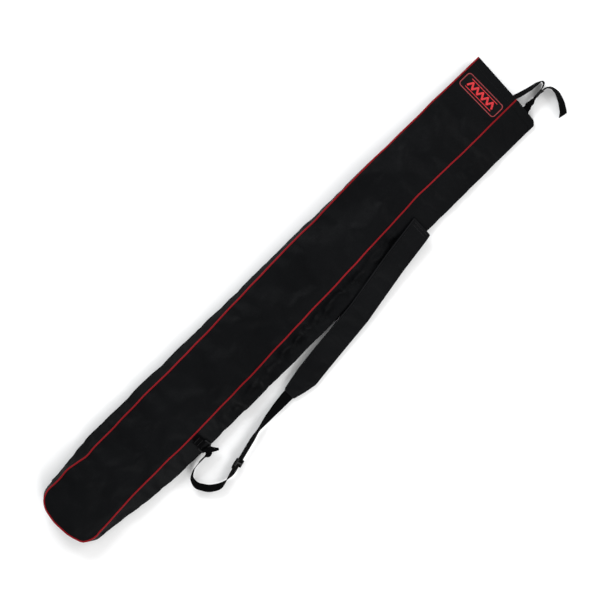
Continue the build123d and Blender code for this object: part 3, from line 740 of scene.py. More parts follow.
# ------------------------------------------------------------------ finishes of tapes, threads and plastic
def woven_tape(name, colour, worn, rib, roughness):
    """Ribbed webbing: slanting ribs that meet in herringbones, shiny thread tops and fuzzy, rubbed edges.

    rib is the distance between ribs in metres.
    """
    material, nodes, links = new_material(name)
    rib_frame = nodes.new("NodeFrame")
    rib_frame.label = "Weave: herringbone ribs"
    wear_frame = nodes.new("NodeFrame")
    wear_frame.label = "Wear: rubbed threads"
    tape_map = nodes.new("ShaderNodeUVMap")
    tape_map.label, tape_map.location = "tape lengths in metres", (-1700, 200)
    tape_map.uv_map = "cloth"
    parts = nodes.new("ShaderNodeSeparateXYZ")
    parts.label, parts.location = "along and across the tape", (-1500, 200)
    zigzag = nodes.new("ShaderNodeMath")
    zigzag.label, zigzag.location, zigzag.parent = "herringbone turn", (-1300, 100), rib_frame
    zigzag.operation = "PINGPONG"
    zigzag.inputs[1].default_value = 0.0042
    slant = nodes.new("ShaderNodeMath")
    slant.label, slant.location, slant.parent = "slanting rib", (-1100, 200), rib_frame
    slant.operation = "ADD"
    turns = nodes.new("ShaderNodeMath")
    turns.label, turns.location, turns.parent = "ribs to the metre", (-900, 200), rib_frame
    turns.operation = "MULTIPLY"
    turns.inputs[1].default_value = 2 * math.pi / rib
    wave = nodes.new("ShaderNodeMath")
    wave.label, wave.location, wave.parent = "rib height", (-700, 200), rib_frame
    wave.operation = "SINE"
    links.new(tape_map.outputs["UV"], parts.inputs["Vector"])
    links.new(parts.outputs["Y"], zigzag.inputs[0])
    links.new(parts.outputs["X"], slant.inputs[0])
    links.new(zigzag.outputs["Value"], slant.inputs[1])
    links.new(slant.outputs["Value"], turns.inputs[0])
    links.new(turns.outputs["Value"], wave.inputs[0])

    place = nodes.new("ShaderNodeTexCoord")
    place.label, place.location = "place on the object", (-1500, -250)
    fuzz = nodes.new("ShaderNodeTexNoise")
    fuzz.label, fuzz.location, fuzz.parent = "loose fibres", (-1200, -150), wear_frame
    fuzz.inputs["Scale"].default_value = 900.0
    fuzz.inputs["Detail"].default_value = 2.0
    rubbed = nodes.new("ShaderNodeTexNoise")
    rubbed.label, rubbed.location, rubbed.parent = "rubbed stretches", (-1200, -400), wear_frame
    rubbed.inputs["Scale"].default_value = 22.0
    rubbed.inputs["Detail"].default_value = 5.0
    ribs_and_fuzz = nodes.new("ShaderNodeMix")
    ribs_and_fuzz.label, ribs_and_fuzz.location = "ribs with fibres", (-500, 60)
    ribs_and_fuzz.parent = rib_frame
    ribs_and_fuzz.data_type = "FLOAT"
    ribs_and_fuzz.inputs["Factor"].default_value = 0.3
    worn_tops = nodes.new("ShaderNodeMath")
    worn_tops.label, worn_tops.location, worn_tops.parent = "rubbed rib tops", (-500, -250), wear_frame
    worn_tops.operation = "MULTIPLY"
    worn_tops.use_clamp = True
    tint = nodes.new("ShaderNodeMix")
    tint.label, tint.location, tint.parent = "tape to rubbed tape", (-300, -200), wear_frame
    tint.data_type = "RGBA"
    tint.inputs["A"].default_value = (*colour, 1)
    tint.inputs["B"].default_value = (*worn, 1)
    gloss = nodes.new("ShaderNodeMapRange")
    gloss.label, gloss.location, gloss.parent = "rib tops shine", (-300, 120), rib_frame
    gloss.inputs["From Min"].default_value = -1.0
    gloss.inputs["To Min"].default_value = roughness + 0.15
    gloss.inputs["To Max"].default_value = roughness
    bump = nodes.new("ShaderNodeBump")
    bump.label, bump.location, bump.parent = "rib depth", (-300, -20), rib_frame
    bump.inputs["Strength"].default_value = 0.8
    bump.inputs["Distance"].default_value = 0.0002
    shader = nodes.new("ShaderNodeBsdfPrincipled")
    shader.label, shader.location = "nylon webbing", (0, 0)
    shader.inputs["Specular IOR Level"].default_value = 0.03
    shader.inputs["Sheen Weight"].default_value = 0.001
    shader.inputs["Sheen Roughness"].default_value = 0.5
    output = nodes.new("ShaderNodeOutputMaterial")
    output.label, output.location = "surface", (300, 0)
    links.new(place.outputs["Object"], fuzz.inputs["Vector"])
    links.new(place.outputs["Object"], rubbed.inputs["Vector"])
    links.new(wave.outputs["Value"], ribs_and_fuzz.inputs["A"])
    links.new(fuzz.outputs["Fac"], ribs_and_fuzz.inputs["B"])
    links.new(wave.outputs["Value"], worn_tops.inputs[0])
    links.new(rubbed.outputs["Fac"], worn_tops.inputs[1])
    links.new(worn_tops.outputs["Value"], tint.inputs["Factor"])
    links.new(wave.outputs["Value"], gloss.inputs["Value"])
    links.new(ribs_and_fuzz.outputs["Result"], bump.inputs["Height"])
    links.new(tint.outputs["Result"], shader.inputs["Base Color"])
    links.new(gloss.outputs["Result"], shader.inputs["Roughness"])
    links.new(bump.outputs["Normal"], shader.inputs["Normal"])
    links.new(shader.outputs["BSDF"], output.inputs["Surface"])
    return material


def sewn_thread(name, colour, dark, strand, roughness):
    """Thread laid side by side, as in satin stitch or an overlocked edge: fine shiny ridges across the row.

    strand is the thickness of one thread in metres.
    """
    material, nodes, links = new_material(name)
    strand_frame = nodes.new("NodeFrame")
    strand_frame.label = "Threads laid side by side"
    row_map = nodes.new("ShaderNodeUVMap")
    row_map.label, row_map.location = "row lengths in metres", (-1300, 100)
    row_map.uv_map = "cloth"
    strands = nodes.new("ShaderNodeTexWave")
    strands.label, strands.location, strands.parent = "strands", (-1050, 150), strand_frame
    strands.wave_type, strands.bands_direction, strands.wave_profile = "BANDS", "X", "SIN"
    strands.inputs["Scale"].default_value = 1 / (strand * 6.28)
    strands.inputs["Distortion"].default_value = 0.9
    strands.inputs["Detail Scale"].default_value = 200.0
    place = nodes.new("ShaderNodeTexCoord")
    place.label, place.location = "place on the object", (-1300, -200)
    uneven = nodes.new("ShaderNodeTexNoise")
    uneven.label, uneven.location, uneven.parent = "uneven tension", (-1050, -180), strand_frame
    uneven.inputs["Scale"].default_value = 160.0
    uneven.inputs["Detail"].default_value = 3.0
    tint = nodes.new("ShaderNodeMix")
    tint.label, tint.location, tint.parent = "shade between strands", (-500, -80), strand_frame
    tint.data_type = "RGBA"
    tint.inputs["A"].default_value = (*dark, 1)
    tint.inputs["B"].default_value = (*colour, 1)
    lit = nodes.new("ShaderNodeMath")
    lit.label, lit.location, lit.parent = "strand tops", (-760, -40), strand_frame
    lit.operation = "MULTIPLY_ADD"
    lit.inputs[1].default_value = 0.7
    gloss = nodes.new("ShaderNodeMapRange")
    gloss.label, gloss.location, gloss.parent = "thread gloss", (-500, -320), strand_frame
    gloss.inputs["To Min"].default_value = roughness - 0.08
    gloss.inputs["To Max"].default_value = roughness + 0.1
    bump = nodes.new("ShaderNodeBump")
    bump.label, bump.location, bump.parent = "strand depth", (-500, 200), strand_frame
    bump.inputs["Strength"].default_value = 0.9
    bump.inputs["Distance"].default_value = strand * 0.4
    shader = nodes.new("ShaderNodeBsdfPrincipled")
    shader.label, shader.location = "polyester thread", (0, 0)
    shader.inputs["Specular IOR Level"].default_value = 0.18
    shader.inputs["Sheen Weight"].default_value = 0.05
    output = nodes.new("ShaderNodeOutputMaterial")
    output.label, output.location = "surface", (300, 0)
    links.new(row_map.outputs["UV"], strands.inputs["Vector"])
    links.new(place.outputs["Object"], uneven.inputs["Vector"])
    links.new(strands.outputs["Fac"], lit.inputs[0])
    links.new(uneven.outputs["Fac"], lit.inputs[2])
    links.new(lit.outputs["Value"], tint.inputs["Factor"])
    links.new(uneven.outputs["Fac"], gloss.inputs["Value"])
    links.new(strands.outputs["Fac"], bump.inputs["Height"])
    links.new(tint.outputs["Result"], shader.inputs["Base Color"])
    links.new(gloss.outputs["Result"], shader.inputs["Roughness"])
    links.new(bump.outputs["Normal"], shader.inputs["Normal"])
    links.new(shader.outputs["BSDF"], output.inputs["Surface"])
    return material


def moulded_plastic(name, colour, edge_highlight_colour):
    """Moulded acetal: fine grained skin, slow flow marks, and a painted highlight that makes its sharp edges
    paler.
    """
    material, nodes, links = new_material(name)
    grain_frame = nodes.new("NodeFrame")
    grain_frame.label = "Moulded grain"
    edge_highlight_frame = nodes.new("NodeFrame")
    edge_highlight_frame.label = "Painted edge highlight"
    place = nodes.new("ShaderNodeTexCoord")
    place.label, place.location = "place on the object", (-1100, 0)
    grain = nodes.new("ShaderNodeTexNoise")
    grain.label, grain.location, grain.parent = "mould grain", (-850, 100), grain_frame
    grain.inputs["Scale"].default_value = 1400.0
    grain.inputs["Detail"].default_value = 3.0
    flow = nodes.new("ShaderNodeTexNoise")
    flow.label, flow.location, flow.parent = "flow marks", (-850, -150), grain_frame
    flow.inputs["Scale"].default_value = 90.0
    flow.inputs["Distortion"].default_value = 1.2
    gloss = nodes.new("ShaderNodeMapRange")
    gloss.label, gloss.location, gloss.parent = "gloss changes with the flow", (-550, -150), grain_frame
    gloss.inputs["To Min"].default_value = 0.30
    gloss.inputs["To Max"].default_value = 0.50
    shape = nodes.new("ShaderNodeNewGeometry")
    shape.label, shape.location = "how sharp the edge is", (-1100, -400)
    # Painted highlight: the sharper an edge (its pointiness), the more of the paler edge colour it gets.
    rubbed = nodes.new("ShaderNodeMapRange")
    rubbed.label, rubbed.location, rubbed.parent = "edges only", (-850, -400), edge_highlight_frame
    rubbed.inputs["From Min"].default_value = 0.52
    rubbed.inputs["From Max"].default_value = 0.62
    tint = nodes.new("ShaderNodeMix")
    tint.label, tint.location, tint.parent = "plastic to painted edge highlight", (-550, -400), edge_highlight_frame
    tint.data_type = "RGBA"
    tint.inputs["A"].default_value = (*colour, 1)
    tint.inputs["B"].default_value = (*edge_highlight_colour, 1)
    bump = nodes.new("ShaderNodeBump")
    bump.label, bump.location, bump.parent = "grain depth", (-550, 100), grain_frame
    bump.inputs["Strength"].default_value = 0.25
    bump.inputs["Distance"].default_value = 0.00006
    shader = nodes.new("ShaderNodeBsdfPrincipled")
    shader.label, shader.location = "moulded plastic", (0, 0)
    shader.inputs["Specular IOR Level"].default_value = 0.14
    output = nodes.new("ShaderNodeOutputMaterial")
    output.label, output.location = "surface", (300, 0)
    links.new(place.outputs["Object"], grain.inputs["Vector"])
    links.new(place.outputs["Object"], flow.inputs["Vector"])
    links.new(flow.outputs["Fac"], gloss.inputs["Value"])
    links.new(shape.outputs["Pointiness"], rubbed.inputs["Value"])
    links.new(rubbed.outputs["Result"], tint.inputs["Factor"])
    links.new(grain.outputs["Fac"], bump.inputs["Height"])
    links.new(tint.outputs["Result"], shader.inputs["Base Color"])
    links.new(gloss.outputs["Result"], shader.inputs["Roughness"])
    links.new(bump.outputs["Normal"], shader.inputs["Normal"])
    links.new(shader.outputs["BSDF"], output.inputs["Surface"])
    return material


patch_twill = woven_cloth("black_patch_twill", (0.0032, 0.0032, 0.0035), (0.0075, 0.0072, 0.0075),
                          0.0009, 0.62, 0.006, 0.0004, 30.0)
binding_cloth = woven_cloth("black_binding_tape", (0.0042, 0.0042, 0.0048), (0.009, 0.009, 0.010),
                            0.0011, 0.60, 0.008, 0.0006, 40.0)
pad_cloth = woven_cloth("shoulder_pad_cloth", (0.0020, 0.0022, 0.0026), (0.0040, 0.0043, 0.0050),
                        0.0008, 0.46, 0.006, 0.0012, 11.0)
webbing_tape = woven_tape("black_webbing", (0.0011, 0.0011, 0.0013), (0.0036, 0.0036, 0.0040), 0.0016, 0.76)
border_thread = sewn_thread("dull_red_overlock_thread", (0.30, 0.045, 0.05), (0.10, 0.012, 0.014),
                            0.0008, 0.5)
emblem_thread = sewn_thread("red_satin_thread", (0.60, 0.030, 0.038), (0.24, 0.010, 0.014), 0.0006, 0.42)
black_thread = sewn_thread("black_sewing_thread", (0.0040, 0.0040, 0.0046), (0.0014, 0.0014, 0.0017),
                           0.0004, 0.6)
# The second colour is the painted highlight on the plastic's sharp edges.
dark_plastic = moulded_plastic("dark_moulded_plastic", (0.004, 0.004, 0.0045), (0.012, 0.012, 0.0135))


# ------------------------------------------------------------------ mouth hem, seam tapes and patches
def mouth_rows(back):
    """Loop over the front, left, back and right cloth at a distance back from the mouth, and its way back."""
    order = (("front_panel_cloth", 1), ("left_gusset_cloth", -1), ("back_panel_cloth", 1),
             ("right_gusset_cloth", 1))
    loops = []
    for row in (0, 4):
        parts = [surfaces[name][row, ::way][:-1] for name, way in order]
        loops.append(np.concatenate(parts))
    near, far = loops
    way = unit(far - near)
    return near + way * back, way


def mouth_hem():
    """Cloth turned in at the mouth: a profile of depths and heights off the cloth, carried round the mouth.

    Gives back the directions out of the cloth, for the stitches.
    """
    profile = np.array([(0.0036, 0.0003), (0.0016, 0.0007), (-0.0002, 0.0005), (-0.0012, -0.0004),
                        (-0.0010, -0.0016), (0.0008, -0.0025), (0.0050, -0.0024), (0.0120, -0.0021),
                        (0.0215, -0.0023), (0.0230, -0.0020), (0.0232, -0.0014)])
    near, way = mouth_rows(0.0)
    around = unit(np.roll(near, -1, axis=0) - np.roll(near, 1, axis=0))
    outward = unit(np.cross(way, around))
    centre = near.mean(axis=0)
    if ((near - centre) * outward).sum() < 0:
        outward = -outward
    points = near + way * profile[:, 0, None, None] + outward * profile[:, 1, None, None]
    walked = np.concatenate([[0], np.cumsum(np.linalg.norm(np.diff(near, axis=0), axis=1))])
    uv = np.stack([profile[:, :1] + 0 * walked[None], walked[None] + 0 * profile[:, :1]], -1)
    faces = grid_faces(*points.shape[:2], closed_columns=True)
    hem = close_up(make_piece("mouth_hem_cloth", points, faces, uv))
    subdivide(hem, 1)
    finish_piece(hem, "bag", "shell_fabric", shell_cloth, "mouth_hem")
    return outward


HEM_STITCH_DEPTHS = (0.0035, 0.0205)
hem_outward = mouth_hem()
for number, depth in enumerate(HEM_STITCH_DEPTHS):
    loop = mouth_rows(depth)[0]
    loop = np.concatenate([loop, loop[:1]])
    loop_outward = np.concatenate([hem_outward, hem_outward[:1]])
    row = stitch_row(f"hem_stitches_{number + 1}", loop, loop_outward, 0.0026, 0.0034, 0.0005)
    finish_piece(row, "bag", "black_thread", black_thread)

# Binding sewn over the inside of each long seam, leaning into the bag; each lean is a direction in y and z.
SEAM_TAPE_WIDTH, SEAM_TAPE_THICK, SEAM_TAPE_IN = 0.005, 0.0011, 0.0056
for name, lean in (("front_left", (-0.75, -0.66)), ("front_right", (0.3, -0.95)),
                   ("back_left", (-0.2, 0.98)), ("back_right", (0.75, 0.66))):
    seam = seams[name][6:-1]
    inwards = np.array([0.0, *lean])
    seam_tape = tape(f"seam_tape_{name}", seam + inwards * SEAM_TAPE_IN, np.tile(inwards, (len(seam), 1)),
                     SEAM_TAPE_WIDTH, SEAM_TAPE_THICK)
    finish_piece(seam_tape, "bag", "binding_tape", binding_cloth, "seam_bindings")

PATCH_CENTRE = np.array([0.795, 0.040])
PATCH_HALF = np.array([0.0213, 0.0658])
PATCH_RADIUS = 0.0085


def patch_ring(grow, steps=96):
    """Points of a rounded rectangle about the patch's centre, grown outwards by grow."""
    half, radius = PATCH_HALF + grow, PATCH_RADIUS + grow
    corner = half - radius
    signs = np.array([(1, 1), (-1, 1), (-1, -1), (1, -1)])
    angle = np.linspace(0, math.pi / 2, steps // 4)
    arcs = []
    for k, sign in enumerate(signs):
        turn = angle + k * math.pi / 2
        arcs.append(sign * corner + radius * np.stack([np.cos(turn), np.sin(turn)], -1))
    return PATCH_CENTRE + np.concatenate(arcs)


def on_panel(plan, lift):
    """Lays plan points on the front panel near the mouth, lifted off the cloth."""
    plan = np.asarray(plan)
    return np.concatenate([plan, (top_height(plan[..., 0]) + lift)[..., None]], -1)


def patch_base():
    """Sewn patch: rings of a rounded rectangle from its middle out, its top swelling slightly."""
    share = np.linspace(0, 1, 16)[:, None, None]
    plan = PATCH_CENTRE + (patch_ring(-0.0004) - PATCH_CENTRE) * share
    swell = 0.0011 + 0.0005 * (1 - share[..., 0] ** 2)
    top = on_panel(plan, swell + 0 * plan[..., 0])
    skirt = on_panel(plan[-1:], np.full((1, plan.shape[1]), 0.0001))
    points = np.concatenate([top, skirt])
    base = close_up(make_piece("patch_cloth", points, grid_faces(*points.shape[:2], closed_columns=True),
                               points[..., :2]))
    if base.data.polygons[0].normal.z < 0:
        base.data.flip_normals()
    return base


def thread_ridge(name, plan, width, height, lift, closed):
    """Raised band of side-by-side threads: a half-ellipse section carried along a plan line on the patch."""
    if closed:
        way = unit(np.roll(plan, -1, axis=0) - np.roll(plan, 1, axis=0))
    else:
        way = unit(np.gradient(plan, axis=0))
    side = np.stack([-way[:, 1], way[:, 0]], -1)
    angle = np.linspace(0, math.pi, 9)
    offset, rise = -np.cos(angle) * width / 2, np.sin(angle) ** 0.7 * height
    spread = plan[:, None] + side[:, None] * offset[None, :, None]
    points = on_panel(spread, lift + rise[None] + 0 * spread[..., 0])
    bottom = on_panel(plan, np.full(len(plan), lift))[:, None]
    points = np.concatenate([points, bottom], axis=1)
    if not closed:
        points = np.concatenate([points.mean(axis=1, keepdims=True)[:1].repeat(10, 1), points,
                                 points.mean(axis=1, keepdims=True)[-1:].repeat(10, 1)])
    walked = np.concatenate([[0], np.cumsum(np.linalg.norm(np.diff(points[:, 4], axis=0), axis=1))])
    across = np.concatenate([offset, [0]])
    uv = np.stack([walked[:, None] + 0 * across, across + 0 * walked[:, None]], -1)
    return close_up(make_piece(name, points, grid_faces(*points.shape[:2], closed_columns=True,
                                                        closed_rows=closed), uv))


finish_piece(patch_base(), "bag", "patch_cloth", patch_twill, "logo_patch")
finish_piece(thread_ridge("patch_border_threads", patch_ring(0.0), 0.0029, 0.0016, 0.0002, True), "bag",
             "patch_border_thread", border_thread, "patch_border")

# Plain mountain ridge of five peaks between two ground lines.
peaks = np.arange(11)
ridge_plan = PATCH_CENTRE + np.stack([0.0082 * (-1.0) ** (peaks + 1), -0.0470 + 0.0094 * peaks], -1)
ridge_plan = rounded_line(ridge_plan, 0.0022, 260)
finish_piece(thread_ridge("patch_ridge_threads", ridge_plan, 0.0058, 0.0011, 0.0015, False), "bag",
             "patch_emblem_thread", emblem_thread, "patch_emblem")
for side, label in ((-1, "lower"), (1, "upper")):
    ground = PATCH_CENTRE + np.stack([np.full(60, side * 0.0134), np.linspace(-0.0485, 0.0485, 60)], -1)
    ground_threads = thread_ridge(f"patch_ground_threads_{label}", ground, 0.0022, 0.0009, 0.0014, False)
    finish_piece(ground_threads, "bag", "patch_emblem_thread", emblem_thread)


def on_gusset(x, share, lift):
    """Points lifted off the right gusset, at each x and share of its upper leaf: 0 its seam, 1 its fold."""
    cloth = surfaces["right_gusset_cloth"]
    normals = surface_normals(cloth)
    row = np.clip((MOUTH_X - x) / (MOUTH_X - END_START_X) * (ROWS - 1), 0, ROWS - 1.001)
    front, fold, back = (np.stack([np.interp(x, seams[n][::-1, 0], seams[n][::-1, k]) for k in range(3)], -1)
                         for n in ("front_right", "fold_right", "back_right"))
    upper, lower = np.linalg.norm(fold - front, axis=-1), np.linalg.norm(back - fold, axis=-1)
    column = np.clip(share * upper / (upper + lower) * (GUSSET_COLUMNS - 1), 0, GUSSET_COLUMNS - 1.001)
    i, j = row.astype(int), column.astype(int)
    a, b = (row - i)[..., None], (column - j)[..., None]

    def mixed(grid):
        return ((grid[i, j] * (1 - b) + grid[i, j + 1] * b) * (1 - a)
                + (grid[i + 1, j] * (1 - b) + grid[i + 1, j + 1] * b) * a)

    normal = unit(mixed(normals))
    return mixed(cloth) + normal * np.asarray(lift)[..., None], normal


LEAF_WIDTH = 0.08            # the right gusset from its seam to its fold


def sewn_patch(name, node, x_from, x_to, share_from, share_to):
    """Doubled cloth sewn on the right gusset: a grid over the cloth with turned-under edges."""
    x, share = np.meshgrid(np.linspace(x_from, x_to, 15), np.linspace(share_from, share_to, 19),
                           indexing="ij")
    near_edge = np.minimum(np.minimum(x - x_from, x_to - x),
                           LEAF_WIDTH * np.minimum(share - share_from, share_to - share))
    lift = 0.0009 + 0.0007 * np.clip(near_edge / 0.002, 0, 1)
    points, _ = on_gusset(x, share, lift)
    piece = make_piece(name, points, grid_faces(*points.shape[:2]), arc_lengths(points))
    if piece.data.polygons[0].normal.z < 0:
        piece.data.flip_normals()
    subdivide(piece, 1)
    thicken(piece, 0.0010)
    finish_piece(piece, "bag", "shell_fabric", shell_cloth, node)


sewn_patch("strap_sewing_patch", "strap_anchor_patch", 0.392, 0.440, 0.28, 0.95)
sewn_patch("ring_sewing_patch", "ring_anchor_patch", -0.432, -0.384, 0.06, 0.80)


# ------------------------------------------------------------------ shoulder pad
PAD_STATIONS = np.array([   # x, inner y, inner z, outer y, outer z, thickness
    (0.432, -0.0735, 0.0395, -0.1340, 0.0265, 0.0040), (0.412, -0.0770, 0.0415, -0.1385, 0.0270, 0.0060),
    (0.309, -0.0920, 0.0390, -0.1540, 0.0200, 0.0074), (0.146, -0.1220, 0.0270, -0.1850, 0.0105, 0.0074),
    (-0.016, -0.1400, 0.0180, -0.2030, 0.0072, 0.0074), (-0.076, -0.1475, 0.0155, -0.2105, 0.0066, 0.0072),
    (-0.110, -0.1540, 0.0145, -0.2045, 0.0072, 0.0062), (-0.146, -0.1625, 0.0135, -0.1955, 0.0084, 0.0044)])


def pad_frame(x):
    """Middle, half width across and unit normal of the pad at each x."""
    order = PAD_STATIONS[::-1]
    values = np.stack([np.interp(x, order[:, 0], order[:, k]) for k in range(1, 6)], -1)
    inner = np.stack([x, values[..., 0], values[..., 1]], -1)
    outer = np.stack([x, values[..., 2], values[..., 3]], -1)
    half = (outer - inner) / 2
    normal = unit(np.cross(half, [1.0, 0.0, 0.0]))
    normal = np.where(normal[..., 2:] < 0, -normal, normal)
    return (inner + outer) / 2, half, normal, values[..., 4]


def pad_surface(rows=120, around=48):
    """Closed pad: a rounded section at each place along it, crowned in its middle, pinched at its edges."""
    x = np.linspace(PAD_STATIONS[0, 0], PAD_STATIONS[-1, 0], rows)
    middle, half, normal, thick = pad_frame(x)
    turn = np.linspace(0, 2 * math.pi, around + 1)
    across = np.sign(np.cos(turn)) * np.abs(np.cos(turn)) ** 0.55
    through = np.sign(np.sin(turn)) * np.abs(np.sin(turn)) ** 0.55
    crown = 0.36 + 0.14 * (1 - np.abs(across) ** 3)
    sag = ripple(x, 71, 0.36, 0.11)[:, None] * (1 - across ** 2) * 0.0009
    points = (middle[:, None] + half[:, None] * across[None, :, None]
              + normal[:, None] * (thick[:, None] * through * crown + sag)[..., None])
    ends = middle[[0, -1], None] + half[[0, -1], None] * across[None, :, None]
    return np.concatenate([ends[:1], points, ends[1:]]), across


pad_points, pad_across = pad_surface()
pad_map = arc_lengths(pad_points)
near_binding = np.clip((np.abs(pad_across) - 0.86) / 0.12, 0, 1)
pad_hold = np.maximum(near_binding[None, :], 0.10) + np.zeros(pad_points.shape[:2])
pad_hold[:4] = pad_hold[-4:] = 1
pad_points = wrinkle({"pad": pad_points}, pad_hold.ravel(), np.zeros(pad_hold.size), PAD_SPARE, PAD_SPARE,
                     PAD_FRAMES, 0.0016)["pad"]
pad_points[..., 2] = np.maximum(pad_points[..., 2], 0.0008)
pad = close_up(make_piece("shoulder_pad", pad_points, grid_faces(*pad_points.shape[:2]), pad_map))
subdivide(pad, 1)
finish_piece(pad, None, "pad_fabric", pad_cloth, "shoulder_pad_face", "shoulder_pad_foam",
             "shoulder_pad_backing")

# The bound edge runs down the outer side, round the tapered end and back up the inner side.
edge_x = np.linspace(PAD_STATIONS[0, 0] - 0.002, PAD_STATIONS[-1, 0] + 0.0015, 150)
edge_middle, edge_half, edge_normal, _ = pad_frame(edge_x)
outer_edge, inner_edge = edge_middle + edge_half, edge_middle - edge_half
tip = np.linspace(0, 1, 10)[1:-1, None]
bound_line = np.concatenate([outer_edge, outer_edge[-1] * (1 - tip) + inner_edge[-1] * tip, inner_edge[::-1]])
bound_normal = np.concatenate([edge_normal, np.repeat(edge_normal[-1:], 8, 0), edge_normal[::-1]])
bound_line = np.column_stack([bound_line, bound_normal])
bound_line = rounded_line(bound_line, 0.006, 330)
pad_binding = tape("shoulder_pad_edge_binding", bound_line[:, :3], bound_line[:, 3:], 0.0062, 0.0034)
finish_piece(pad_binding, None, "binding_tape", binding_cloth, "shoulder_pad_binding")
stitch_x = np.linspace(0.405, -0.128, 150)
stitch_middle, stitch_half, stitch_normal, stitch_thick = pad_frame(stitch_x)
pad_parts = [pad, pad_binding]
for label, side in (("outer", 1), ("inner", -1)):
    share = 1 - 0.0046 / np.linalg.norm(stitch_half, axis=1)
    line = (stitch_middle + side * stitch_half * share[:, None]
            + stitch_normal * (stitch_thick * 0.40 + 0.0004)[:, None])
    row = stitch_row(f"pad_stitches_{label}", line, stitch_normal, 0.0027, 0.0036, 0.0006)
    pad_parts.append(finish_piece(row, None, "black_thread", black_thread))
for piece in pad_parts:
    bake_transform(piece)


# ------------------------------------------------------------------ shoulder webbing, ring and slider
WEB_WIDTH, WEB_THICK = 0.025, 0.0016
RING_BAR = np.array([-0.408, -0.112, 0.039])
HINGE_WAY = unit(np.array([0.832, 0.042, 0.010]))
RING_OUT = np.array([0.0446, -0.8818, -0.4695])
WEB_ROUTE = np.array([       # x, y, z of the tape's middle, and its lean
    (-0.118, -0.1785, 0.0110, 81), (-0.148, -0.1790, 0.0110, 81), (-0.185, -0.1815, 0.0118, 78),
    (-0.222, -0.1845, 0.0134, 58), (-0.254, -0.1885, 0.0152, 30), (-0.276, -0.1915, 0.0166, 14),
    (-0.298, -0.1965, 0.0170, 30), (-0.374, -0.2169, 0.0170, 30), (-0.410, -0.2265, 0.0168, 30),
    (-0.434, -0.2295, 0.0145, -4), (-0.456, -0.2285, 0.0125, -40), (-0.482, -0.2120, 0.0110, -48),
    (-0.501, -0.1820, 0.0120, -38), (-0.496, -0.1570, 0.0160, -12), (-0.472, -0.1440, 0.0200, -2),
    (-0.444, -0.1420, 0.0230, 0), (-0.420, -0.1420, 0.0250, 0), (-0.4085, -0.1360, 0.0275, 0),
    (-0.4071, -0.1296, 0.0296, 0)])


def ring_end(line, across):
    """Turns the tape's width from its lean to lie along the ring's bar over the last stretch."""
    walked = np.concatenate([[0], np.cumsum(np.linalg.norm(np.diff(line, axis=0), axis=1))])
    share = np.clip(1 - (walked[-1] - walked) / 0.042, 0, 1)[:, None]
    share = share * share * (3 - 2 * share)
    tangent = unit(np.gradient(line, axis=0))
    turned = unit(across * (1 - share) + HINGE_WAY * share)
    turned = unit(turned - (turned * tangent).sum(-1, keepdims=True) * tangent)
    near_bar = np.clip(1 - (walked[-1] - walked) / 0.012, 0, 1)[:, None]
    return turned, np.cross(tangent, turned), near_bar * near_bar * (3 - 2 * near_bar)


web = smooth_line(WEB_ROUTE, 0.018, 0.0020)
web_line = web[:, :3]
web_across, web_normal, at_bar = ring_end(web_line, leaning(web_line, web[:, 3]))
HALF_EYE = 0.0029
upper_run = web_line + web_normal * at_bar * HALF_EYE
lower_run = web_line - web_normal * ((1 - at_bar) * 0.0018 + at_bar * HALF_EYE)
last_way = unit(web_line[-1] - web_line[-3])
turn = np.linspace(0, math.pi, 12)[1:-1, None]
wrap = web_line[-1] + HALF_EYE * (np.cos(turn) * web_normal[-1] + np.sin(turn) * last_way)
folded_back = 26             # points of the tape that lie doubled behind the ring
full_line = np.concatenate([upper_run, wrap, lower_run[:-folded_back:-1]])
full_across = np.concatenate([web_across, np.repeat(web_across[-1:], 10, 0), web_across[:-folded_back:-1]])
# The tape fans out to the pad's tip and is its own width again inside the pad.
tape_x = full_line[:, 0]
fanned = 1 + 0.30 * np.clip((tape_x + 0.215) / 0.070, 0, 1) * np.clip((-0.138 - tape_x) / 0.010, 0, 1)
shoulder_tape = tape("shoulder_webbing_tape", full_line, full_across, WEB_WIDTH, WEB_THICK, fanned)
finish_piece(shoulder_tape, "shoulder_strap", "webbing", webbing_tape, "shoulder_webbing")

# The tape's cut end stands out past the ring, pinched narrower.
tip_line = smooth_line([(-0.4060, -0.1335, 0.0300), (-0.3990, -0.1405, 0.0270), (-0.3930, -0.1465, 0.0235),
                        (-0.3860, -0.1525, 0.0195)], 0.004, 0.0012)
tip_lean = np.linspace(75, 60, len(tip_line))
tip_piece = tape("webbing_cut_end", tip_line, leaning(tip_line, tip_lean), 0.020, WEB_THICK,
                 np.linspace(1.0, 0.35, len(tip_line)))
finish_piece(tip_piece, "shoulder_strap", "webbing", webbing_tape)


def ring_wire():
    """Rectangular wire ring with rounded corners: a round section carried round it."""
    half, reach, radius, wire = 0.0155, 0.020, 0.0035, 0.002
    corner = np.array([(half - radius, radius), (half - radius, reach - radius),
                       (radius - half, reach - radius), (radius - half, radius)])
    start = np.array([-90, 0, 90, 180])
    arcs = []
    for point, first in zip(corner, start):
        angle = np.radians(first + np.linspace(0, 90, 9))
        arcs.append(point + radius * np.stack([np.cos(angle), np.sin(angle)], -1))
    plan = np.concatenate(arcs)
    line = RING_BAR + plan[:, :1] * HINGE_WAY + plan[:, 1:] * RING_OUT
    way = unit(np.roll(line, -1, axis=0) - np.roll(line, 1, axis=0))
    up = unit(np.cross(HINGE_WAY, RING_OUT))
    out = np.cross(way, up)
    angle = np.linspace(0, 2 * math.pi, 16, endpoint=False)[None, :, None]
    points = line[:, None] + wire * (np.cos(angle) * out[:, None] + np.sin(angle) * up)
    return close_up(make_piece("strap_ring_wire", points, grid_faces(len(line), 16, True, True)))


finish_piece(ring_wire(), "shoulder_strap", "hardware_plastic", dark_plastic, "anchor_ring")

